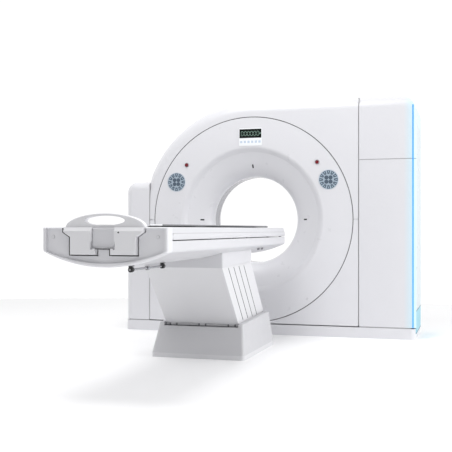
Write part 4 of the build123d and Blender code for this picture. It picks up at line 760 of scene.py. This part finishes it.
@dataclass(frozen=True)
class Studio:
    """Floor, lights and the camera at the photograph's place.

    Attributes:
        eye: Place of the camera.
        turn: The camera's turn about Z, in degrees.
        lens: Focal length, in millimetres.
        sensor: Width of the camera's sensor, in millimetres.
        lift: Vertical shift of the lens, as a share of the sensor.
        floor_radius: Radius of the round floor.
        floor_sides: Sides of its outline.
        floor_y: Place of its middle along Y.
        front_sky: Strength of the surround on the camera's side.
        back_sky: Strength of the surround behind the object.
        sky_range: Where, along Y of the view direction, the one turns into the other.
        lamps: Key light and top light.
    """

    eye: Point = (1.7353, -6.6672, 0.8422)
    turn: float = 16.8
    lens: float = 65.92
    sensor: float = 36.0
    lift: float = 0.0069
    floor_radius: float = 8.0
    floor_sides: int = 128
    floor_y: float = -5.0
    front_sky: float = 0.34
    back_sky: float = 1.06
    sky_range: tuple[float, float] = (-1.0, 0.1)
    lamps: tuple[Lamp, ...] = (
        Lamp("key_light", 105.0, 2.5, (4.8, -1.8, 2.4), (0.2, -1.3, 0.5)),
        Lamp("top_light", 95.0, 2.2, (-0.4, -2.4, 4.6), (-0.1, -0.5, 1.1)),
    )

    def surround(self, tree: bpy.types.NodeTree, sky: bpy.types.Node) -> None:
        """White surround, brighter behind the object like a lit backdrop.

        Args:
            tree: Node tree of the world.
            sky: Its background node.
        """
        way = tree.nodes.new("ShaderNodeTexCoord")
        parts = tree.nodes.new("ShaderNodeSeparateXYZ")
        level = tree.nodes.new("ShaderNodeMapRange")
        level.inputs["From Min"].default_value = self.sky_range[0]
        level.inputs["From Max"].default_value = self.sky_range[1]
        level.inputs["To Min"].default_value = self.front_sky
        level.inputs["To Max"].default_value = self.back_sky
        tree.links.new(way.outputs["Generated"], parts.inputs["Vector"])
        tree.links.new(parts.outputs["Y"], level.inputs["Value"])
        tree.links.new(level.outputs["Result"], sky.inputs["Strength"])

    def lights(self) -> None:
        """White surround with a key light and a top light."""
        world = bpy.data.worlds.new("studio_white")
        bpy.context.scene.world = world
        world.use_nodes = True
        sky = world.node_tree.nodes["Background"]
        sky.inputs["Color"].default_value = (1.0, 1.0, 1.0, 1.0)
        self.surround(world.node_tree, sky)
        bpy.context.scene.view_settings.view_transform = "Standard"
        for lamp in self.lamps:
            lamp.build()

    def ground(self) -> None:
        """Plain pale floor."""
        bpy.ops.mesh.primitive_circle_add(vertices=self.floor_sides, radius=self.floor_radius,
                                          fill_type="NGON", location=(0, self.floor_y, 0))
        floor = bpy.context.object
        floor.name = "studio_floor"
        floor.data.materials.append(FLOOR_PAINT.build())

    def camera(self) -> None:
        """Camera at the photograph's place and angle."""
        data = bpy.data.cameras.new("view")
        data.lens = self.lens
        data.sensor_width = self.sensor
        data.shift_y = self.lift
        camera = bpy.data.objects.new("view", data)
        camera.location = self.eye
        camera.rotation_euler = (math.radians(90), 0, math.radians(self.turn))
        bpy.context.scene.collection.objects.link(camera)
        bpy.context.scene.camera = camera

    def build(self) -> None:
        """Set up the whole studio."""
        bpy.ops.object.select_all(action="DESELECT")
        self.ground()
        self.lights()
        self.camera()


# Gantry


@dataclass(frozen=True)
class Housing(Assembly):
    """Tilting housing with its round covers and the bore."""

    axis_z: float = 0.920
    seam_r: float = 0.8235
    seam_y: float = -0.2352
    # Radius of the section of the ring of painted seam shade.
    seam_shade_r: float = 0.0034
    cap: Point = (0.4614, -0.2395, 0.2917)
    cap_r: float = 0.008
    cap_depth: float = 0.002
    cap_rim: float = 0.0018
    cap_dish: float = 0.0006
    cap_round: float = 0.0004

    def build(self) -> None:
        """Dress the housing."""
        self.bench.paint(COVER, "upper_front_cover", "lower_front_cover", "rear_covers")
        self.bench.paint(ROUND_COVER, "front_round_cover", "rear_round_cover")
        self.bench.paint(BORE_WINDOW, "bore_liner")
        self.bench.paint(LASER_GLASS, "laser_windows")
        # Ring of painted shade laid in the seam gap round the front round cover.
        shade_line = self.bench.ring(self.seam_r, self.seam_shade_r, (0, self.seam_y, self.axis_z), sides=192)
        self.bench.settle(shade_line, "round_seam_painted_shade", Body.GANTRY, SEAM_SHADE, "round_cover_white")
        cap = self.bench.drum(self.cap_r, self.cap_depth, self.cap, sides=32)
        self.bench.step(cap, self.cap_rim, self.cap_dish)
        self.bench.soften(cap, self.cap_round)
        self.bench.settle(cap, "round_cover_cap", Body.GANTRY, BUTTON_COLLAR, "round_cover_white")


@dataclass(frozen=True)
class Display(Assembly):
    """Black display window with a row of dim zeros and an arrow."""

    face_y: float = -0.2426
    digits: int = 6
    lit_segments: str = "abcdef"
    digit_height: float = 0.034
    digit_width: float = 0.017
    stroke: float = 0.0034
    stroke_share: float = 0.74  # length of a stroke, as a share of the digit's width
    rounding: float = 0.3  # as a share of the stroke
    relief: float = 0.0006
    row_z: float = 1.611
    pitch: float = 0.026
    first_x: float = -0.068
    arrow_x: float = 0.081
    arrow_r: float = 0.009

    def segments(self, x: float) -> dict[str, tuple[float, float, bool]]:
        """Segments of a digit by their usual letters.

        Args:
            x: Middle of the digit.

        Returns:
            Centre of each in X and Z, and whether it lies level.
        """
        left = x - self.digit_width / 2
        right = x + self.digit_width / 2
        half = self.digit_height / 2
        z = self.row_z
        return {
            "a": (x, z + half, True),
            "b": (right, z + half / 2, False),
            "c": (right, z - half / 2, False),
            "d": (x, z - half, True),
            "e": (left, z - half / 2, False),
            "f": (left, z + half / 2, False),
            "g": (x, z, True),
        }

    def strokes(self, lit: bool) -> bpy.types.Object:
        """All the lit or all the unlit segments, joined.

        Args:
            lit: Whether to make the lit ones.

        Returns:
            The joined strokes.
        """
        size = (self.digit_width * self.stroke_share, self.relief, self.stroke)
        level = self.bench.bar(size, (0, self.face_y, 0))
        self.bench.soften(level, self.stroke * self.rounding, 1)
        upright = Matrix.Rotation(math.pi / 2, 4, "Y")
        moves = []
        for place in range(self.digits):
            x = self.first_x + place * self.pitch
            for letter, (sx, sz, flat) in self.segments(x).items():
                if (letter in self.lit_segments) == lit:
                    turn = Matrix.Identity(4) if flat else upright
                    moves.append(Matrix.Translation((sx, 0, sz)) @ turn)
        return self.bench.copies(level, moves)

    def arrow(self) -> bpy.types.Object:
        """Small triangle at the window's right end."""
        at = (self.arrow_x, self.face_y, self.row_z)
        return self.bench.drum(self.arrow_r, self.relief, at, sides=3)

    def build(self) -> None:
        """Dress the display and add its digits."""
        self.bench.paint(BEZEL, "display_bezel")
        self.bench.paint(DISPLAY_GLASS, "display_window")
        self.bench.settle(self.strokes(True), "display_digits_lit", Body.GANTRY, DIGIT_LIT,
                          "display_black")
        self.bench.settle(self.strokes(False), "display_digits_unlit", Body.GANTRY, DIGIT_OFF,
                          "display_black")
        self.bench.settle(self.arrow(), "display_arrow", Body.GANTRY, DIGIT_LIT, "display_black")


@dataclass(frozen=True)
class ControlDiscs(Assembly):
    """Round membrane panels on both sides of the round cover.

    A size whose name ends in share is a part of the radius, and one whose name ends in seat sets
    its piece back from the panel's front.
    """

    x: float = 0.632
    z: float = 1.230
    radius: float = 0.0805
    front_y: float = -0.2425
    back_y: float = -0.226
    rim: float = 0.0055
    rim_flat: float = 0.9
    rim_seat: float = 0.0025
    body_inset: float = 0.0062
    body_seat: float = 0.0012
    dish_share: float = 0.42
    dish_drop: float = 0.0004
    keys: int = 12
    key_at_share: float = 0.72
    key_length_share: float = 0.34
    key_width_share: float = 0.31
    key_taper: float = 0.62
    key_depth: float = 0.0012
    key_seat: float = 0.0007
    key_round: float = 0.0018
    mark_at_share: float = 0.76
    mark_length_share: float = 0.16
    mark_width_share: float = 0.06
    mark_depth: float = 0.0005
    mark_seat: float = 0.0001
    mark_round: float = 0.0004
    petals: int = 4
    petal_turn: float = 45.0
    petal_at_share: float = 0.29
    petal_share: float = 0.20
    petal_depth: float = 0.0014
    petal_seat: float = 0.0008
    petal_round: float = 0.0006

    def spot(self, x: float, share: float, seat: float) -> Point:
        """Place level with a panel's middle, out to its right by a share of the radius."""
        return x + self.radius * share, self.front_y + seat, self.z

    def around(self, piece: bpy.types.Object, x: float, count: int,
               start: float = 0.0) -> bpy.types.Object:
        """Copies of a piece spread evenly round a panel's middle.

        Args:
            piece: The piece.
            x: Place of the panel's centre.
            count: How many copies.
            start: Turn of the first, in degrees.

        Returns:
            The joined copies.
        """
        turns = [turn_about(x, self.z, start + i * 360 / count) for i in range(count)]
        return self.bench.copies(piece, turns)

    def body(self, x: float) -> bpy.types.Object:
        """Dished body of a panel.

        Args:
            x: Place of the panel's centre.

        Returns:
            The body.
        """
        depth = self.back_y - self.front_y
        middle = self.spot(x, 0, depth / 2 + self.body_seat)
        body = self.bench.drum(self.radius - self.body_inset, depth, middle, sides=96)
        self.bench.step(body, self.radius * self.dish_share, self.dish_drop)
        return body

    def bezel(self, x: float) -> bpy.types.Object:
        """Raised rim round the keys."""
        half = self.rim / 2
        return self.bench.ring(self.radius - half, half, self.spot(x, 0, self.rim_seat),
                               sides=128, section=16, flat=self.rim_flat)

    def ring_of_keys(self, x: float) -> bpy.types.Object:
        """Dark keys in a ring, each a rounded wedge.

        Args:
            x: Place of the panel's centre.

        Returns:
            The joined keys.
        """
        at = self.spot(x, self.key_at_share, self.key_seat)
        length = self.radius * self.key_length_share
        width = self.radius * self.key_width_share
        key = self.bench.bar((length, self.key_depth, width), at)
        for vertex in key.data.vertices:
            if vertex.co.x < at[0]:
                vertex.co.z = self.z + (vertex.co.z - self.z) * self.key_taper
        self.bench.soften(key, self.key_round, 3)
        return self.around(key, x, self.keys)

    def key_marks(self, x: float) -> bpy.types.Object:
        """Small pale bar on each key.

        Args:
            x: Place of the panel's centre.

        Returns:
            The joined bars.
        """
        length = self.radius * self.mark_length_share
        width = self.radius * self.mark_width_share
        at = self.spot(x, self.mark_at_share, self.mark_seat)
        mark = self.bench.bar((length, self.mark_depth, width), at)
        self.bench.soften(mark, self.mark_round, 1)
        return self.around(mark, x, self.keys)

    def pad(self, x: float) -> bpy.types.Object:
        """Pad of round keys in the middle.

        Args:
            x: Place of the panel's centre.

        Returns:
            The joined keys.
        """
        at = self.spot(x, self.petal_at_share, self.petal_seat)
        petal = self.bench.drum(self.radius * self.petal_share, self.petal_depth, at, sides=32)
        self.bench.soften(petal, self.petal_round)
        return self.around(petal, x, self.petals, self.petal_turn)

    def build(self) -> None:
        """Build both panels in place of the plain ones."""
        for side, x in both_sides(self.x):
            body = self.bench.settle(self.body(x), f"{side}_control_body", Body.GANTRY,
                                     DISC_BODY, "control_grey")
            if side == "left":
                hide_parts("control_panels")
            for name, make, finish in (
                ("rim", self.bezel, DISC_RIM), ("keys", self.ring_of_keys, KEY_DARK),
                ("marks", self.key_marks, KEY_MARK), ("petals", self.pad, KEY_DARK),
            ):
                self.bench.settle(make(x), f"{side}_control_{name}", Body.GANTRY, finish,
                                  "control_grey")


@dataclass(frozen=True)
class StopButtons(Assembly):
    """Domed stop buttons with their collars."""

    x: float = 0.542
    z: float = 1.369
    face_y: float = -0.240
    collar_r: float = 0.0168
    collar_section: float = 0.0018

    def build(self) -> None:
        """Dress the buttons and add the collars."""
        self.bench.paint(BUTTON_RED, "left_stop_button", "right_stop_button")
        for side, x in both_sides(self.x):
            collar = self.bench.ring(self.collar_r, self.collar_section, (x, self.face_y, self.z))
            self.bench.settle(collar, f"{side}_button_collar", Body.GANTRY, BUTTON_COLLAR,
                              "round_cover_white")


@dataclass(frozen=True)
class Stands(Assembly):
    """Left stand, right column, its lit edge and side panels, and the plinth.

    Each seam is filled with a grey strip of painted seam shade, given by its low and high corner:
    beside the left stand, beside the column, across the column's front and side, and above the
    plinth at the left and at the right.
    """

    trim_x: float = 1.2989
    trim_start: float = -0.203
    trim_end: float = 0.311
    trim_depth: float = 0.0034
    trim_height: float = 0.0095
    trim_round: float = 0.0005
    trim_z: tuple[float, float] = (0.0470, 0.2160)
    strip_round: float = 0.0006
    seams: tuple[tuple[Point, Point], ...] = (
        ((-0.8755, -0.2370, 0.1000), (-0.8697, -0.2290, 1.2200)),
        ((0.8648, -0.2370, 0.1000), (0.8706, -0.2290, 1.8600)),
        ((0.8740, -0.2372, 1.3776), (1.2860, -0.2322, 1.3824)),
        ((1.2920, -0.2150, 1.3776), (1.2970, 0.3200, 1.3824)),
        ((-1.0500, -0.2345, 0.0822), (-0.8760, -0.2295, 0.0898)),
        ((0.8710, -0.2345, 0.0822), (1.2600, -0.2295, 0.0898)),
    )

    def build(self) -> None:
        """Dress the stands."""
        self.bench.paint(COVER, "left_stand_cover")
        self.bench.paint(COLUMN, "upper_column_cover", "lower_column_cover")
        self.bench.paint(PLINTH, "plinth_skirt")
        self.bench.paint(STRIP, "column_light_strip")
        self.bench.paint(SIDE_PANEL, "column_side_panels")
        self.bench.paint(FRAME_PAINT, "floor_plate", "stand_frames", "tilt_drive", "power_unit")
        self.bench.paint(GROUND_STEEL, "tilt_bearings")
        trim = self.bench.bar((self.trim_depth, self.trim_end - self.trim_start, self.trim_height),
                              (self.trim_x, (self.trim_start + self.trim_end) / 2, 0))
        self.bench.soften(trim, self.trim_round, 1)
        trims = self.bench.copies(trim, [Matrix.Translation((0, 0, z)) for z in self.trim_z])
        self.bench.settle(trims, "kick_panel_trims", Body.FLOOR, KICK_TRIM, "side_cyan")
        # Grey strips in the seam gaps: painted seam shade.
        for number, (low, high) in enumerate(self.seams, start=1):
            size = tuple(b - a for a, b in zip(low, high))
            middle = tuple((a + b) / 2 for a, b in zip(low, high))
            strip = self.bench.bar(size, middle)
            self.bench.soften(strip, self.strip_round, 1)
            self.bench.settle(strip, f"stand_seam_painted_shade_{number}", Body.FLOOR, SEAM_SHADE_AND_WASHER_GREY,
                              "cover_white")


@dataclass(frozen=True)
class InnerWorks(Assembly):
    """Tilt frame and rotor behind the covers."""

    def build(self) -> None:
        """Dress the inner works."""
        self.bench.paint(CAST_METAL, "tilt_frame", "rotor_drum", "detector_arc", "data_unit",
                         "tube_cooler")
        self.bench.paint(FRAME_PAINT, "high_voltage_generator", "xray_tube")
        self.bench.paint(GROUND_STEEL, "bearing_inner_race", "bearing_outer_race")
        self.bench.paint(BRASS, "collimator")


# Patient table


@dataclass(frozen=True)
class TableTop(Assembly):
    """Body, rails, foot end, cradle and the rail below."""

    plug: Point = (0.085, -2.9980, 0.826)
    plug_r: float = 0.0042
    plug_depth: float = 0.0014
    plug_rim: float = 0.0012
    plug_dish: float = 0.0004
    # Black lines round the handle panel's edge: painted shadow of the gap under and beside it.
    shadow_width: float = 0.0034
    shadow_depth: float = 0.0070
    shadow_y: float = -2.9940
    edge_shadows: tuple[Outline, ...] = (
        ((-0.2138, 0.8460), (-0.2138, 0.8270), (-0.1768, 0.8030), (-0.1768, 0.7143),
         (-0.0382, 0.7143)),
        ((-0.0382, 0.7463), (0.0382, 0.7463)),
        ((0.0382, 0.7463), (0.0382, 0.7143), (0.1768, 0.7143)),
    )
    # Grey lines of painted shade run along the crease of each side cover and down the joint at its
    # near end.
    side: float = 0.333
    crease: float = 0.8212
    bead: tuple[float, float] = (-2.9040, -0.4600)
    line_inset: float = 0.0038
    line_height: float = 0.0020
    line_depth: float = 0.0012
    end_inset: float = 0.0010
    end_width: float = 0.0030
    end_height: float = 0.0340
    end_z: float = 0.8050
    thumb_x: float = 0.1370
    thumb_y: tuple[float, float] = (-2.9340, -2.5120)
    thumb_z: float = 0.6600
    thumb_r: float = 0.0060
    thumb_length: float = 0.0080
    thumb_round: float = 0.0010
    end_screws: tuple[Point, Point] = ((-0.279, -2.9706, 0.804), (0.279, -2.9706, 0.804))
    washer_r: float = 0.0080
    washer_section: float = 0.0010
    sockets: tuple[Point, ...] = ((0.285, -1.08, 0.7068), (0.285, -0.98, 0.7068))
    socket_r: float = 0.010
    socket_length: float = 0.016
    socket_round: float = 0.002

    def build(self) -> None:
        """Dress the table top."""
        self.bench.paint(TABLE_COVER, "table_body", "side_rail_covers", "head_cover")
        self.bench.paint(END_RIM, "foot_end_cover")
        self.bench.paint(HANDLE, "handle_panel")
        self.bench.paint(LEVER, "release_lever")
        self.bench.paint(CRADLE, "cradle")
        self.bench.paint(FRAME_PAINT, "table_frame", "cradle_drive", "cradle_carriage",
                         "cradle_support", "lift_head")
        self.bench.paint(GROUND_STEEL, "head_pivot_shafts")
        self.bench.paint(RAIL_STEEL, "accessory_rail")
        self.bench.paint(BLACK, "rail_brackets")
        self.handle_details()
        self.latch()
        self.bead_lines()
        self.thumb_screws()
        self.screw_washers()

    def handle_details(self) -> None:
        """Screw plug on the handle panel and the black lines of painted shadow round its edge."""
        plug = self.bench.drum(self.plug_r, self.plug_depth, self.plug, sides=24)
        self.bench.step(plug, self.plug_rim, self.plug_dish)
        self.bench.settle(plug, "handle_screw_plug", Body.CRADLE, BLACK, "black_plastic")
        # Black lines of painted shadow round the panel's edge.
        for number, corners in enumerate(self.edge_shadows, start=1):
            shade_line = self.bench.edging(corners, self.shadow_width, self.shadow_depth, self.shadow_y)
            self.bench.settle(shade_line, f"handle_edge_painted_shadow_{number}", Body.CRADLE, RUBBER_AND_SHADOW_BLACK,
                              "black_plastic")

    def screw_washers(self) -> None:
        """Washers round the two screws of the foot end cover."""
        washer = self.bench.ring(self.washer_r, self.washer_section, (0, 0, 0))
        washers = self.bench.copies(washer, [Matrix.Translation(at) for at in self.end_screws])
        self.bench.settle(washers, "end_screw_washers", Body.TABLE, SEAM_SHADE_AND_WASHER_GREY, "table_white")

    def bead_lines(self) -> None:
        """Grey lines of painted shade along the crease above the bead of each side cover and at
        the joint at its near end.
        """
        near, far = self.bead
        for (name, line_x), (_, end_x) in zip(both_sides(self.side - self.line_inset),
                                              both_sides(self.side - self.end_inset)):
            line = self.bench.bar((self.line_depth, far - near, self.line_height),
                                  (line_x, (near + far) / 2, self.crease))
            self.bench.settle(line, f"{name}_bead_line", Body.TABLE, SEAM_SHADE_AND_WASHER_GREY, "table_white")
            end = self.bench.bar((self.line_depth, self.end_width, self.end_height),
                                 (end_x, near, self.end_z))
            self.bench.settle(end, f"{name}_bead_end", Body.TABLE, SEAM_SHADE_AND_WASHER_GREY, "table_white")

    def thumb_screws(self) -> None:
        """Steel thumb screw on each bracket of the accessory rail."""
        screw = self.bench.drum(self.thumb_r, self.thumb_length, (0, 0, 0), sides=24)
        self.bench.soften(screw, self.thumb_round)
        turn = Matrix.Rotation(math.pi / 2, 4, "Z")
        moves = [Matrix.Translation((self.thumb_x, y, self.thumb_z)) @ turn for y in self.thumb_y]
        screws = self.bench.copies(screw, moves)
        self.bench.settle(screws, "bracket_thumb_screws", Body.TABLE, GROUND_STEEL, "bright_steel")

    def latch(self) -> None:
        """Small latch with two grey sockets under the edge of the body."""
        socket = self.bench.drum(self.socket_r, self.socket_length, (0, 0, 0), sides=24)
        self.bench.soften(socket, self.socket_round)
        sockets = self.bench.copies(socket, [Matrix.Translation(at) for at in self.sockets])
        self.bench.settle(sockets, "body_latch_sockets", Body.TABLE, BUTTON_COLLAR, "table_white")


@dataclass(frozen=True)
class Pedestal(Assembly):
    """Lifting pedestal and its base."""

    hinge: tuple[float, float] = (-1.456, 0.210)
    pitch: float = 0.127
    groove_inset: float = 0.008
    groove: tuple[float, float] = (0.028, 0.387)
    groove_width: float = 0.0087
    panel_half: float = 0.253
    nest: float = 0.002
    sheet: float = 0.0015
    blade_share: float = 0.6  # thickness of a blade, as a share of the sheet's
    link_angle: float = 46.5
    tube_radius: float = 0.0084
    tube_spans: tuple[tuple[float, float], ...] = ((-0.250, -0.232), (-0.174, -0.029),
                                                   (0.029, 0.174), (0.232, 0.250))

    def hinge_tubes(self) -> bpy.types.Object:
        """Tubes between the knuckles that close the foot panel's hinge line.

        Returns:
            The joined tubes.
        """
        y, z = self.hinge
        tube = self.bench.drum(self.tube_radius, 1.0, (0, 0, 0), sides=32)
        turn = Matrix.Rotation(math.pi / 2, 4, "Z")
        moves = [Matrix.Translation(((a + b) / 2, y, z)) @ Matrix.Diagonal((b - a, 1, 1, 1)) @ turn
                 for a, b in self.tube_spans]
        return self.bench.copies(tube, moves)

    def groove_blades(self, place: int) -> bpy.types.Object:
        """Black blades that darken the groove of one slat at both sides, partly black rubber and
        partly painted slot shade.

        Args:
            place: 0 for the foot panel, then the slats in turn.

        Returns:
            The joined blades.
        """
        low, high = self.groove
        lean = math.radians(90 - self.link_angle)
        back = -math.tan(lean)
        middle_z = (low + high) / 2
        y = self.hinge[0] + (place + 1) * self.pitch - self.groove_inset + middle_z * back
        x = self.panel_half - place * self.nest - self.sheet * (1 - self.blade_share)
        length = (high - low) / math.cos(lean)
        size = (self.sheet * self.blade_share, self.groove_width, length)
        blade = self.bench.bar(size, (0, 0, 0))
        tip = Matrix.Rotation(lean, 4, "X")
        z = self.hinge[1] + middle_z
        moves = [Matrix.Translation((at, y, z)) @ tip for _, at in both_sides(x)]
        return self.bench.copies(blade, moves)

    def build(self) -> None:
        """Dress the pedestal."""
        self.bench.paint(SLAT, "foot_side_panel", "side_slat_1", "side_slat_2", "side_slat_3",
                         "gantry_side_panel")
        self.bench.paint(BASE_COVER, "base_cover")
        self.bench.paint(FRAME_PAINT, "base_frame", "front_lift_arm", "rear_lift_arm",
                         "lift_drive")
        self.bench.paint(GROUND_STEEL, "base_pivot_shafts")
        self.bench.settle(self.hinge_tubes(), "hinge_tubes", Body.FOOT_PANEL, SLAT, "slat_white")
        # Black blades darken each slot: partly black rubber, partly painted slot shade.
        for place, body in enumerate((Body.FOOT_PANEL, Body.SLAT_1, Body.SLAT_2, Body.SLAT_3)):
            self.bench.settle(self.groove_blades(place), f"{body.value}_groove_blades", body,
                              RUBBER_AND_SHADOW_BLACK, "black_plastic")


def main() -> None:
    """Build the scene."""
    logging.basicConfig(level=logging.INFO, format="%(message)s")
    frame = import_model()
    Studio().build()
    bench = Bench(frame["nodes"])
    for assembly in (Housing, Display, ControlDiscs, StopButtons, Stands, InnerWorks, TableTop,
                     Pedestal):
        assembly(bench).build()
    bench.clear()


if __name__ == "__main__":
    main()
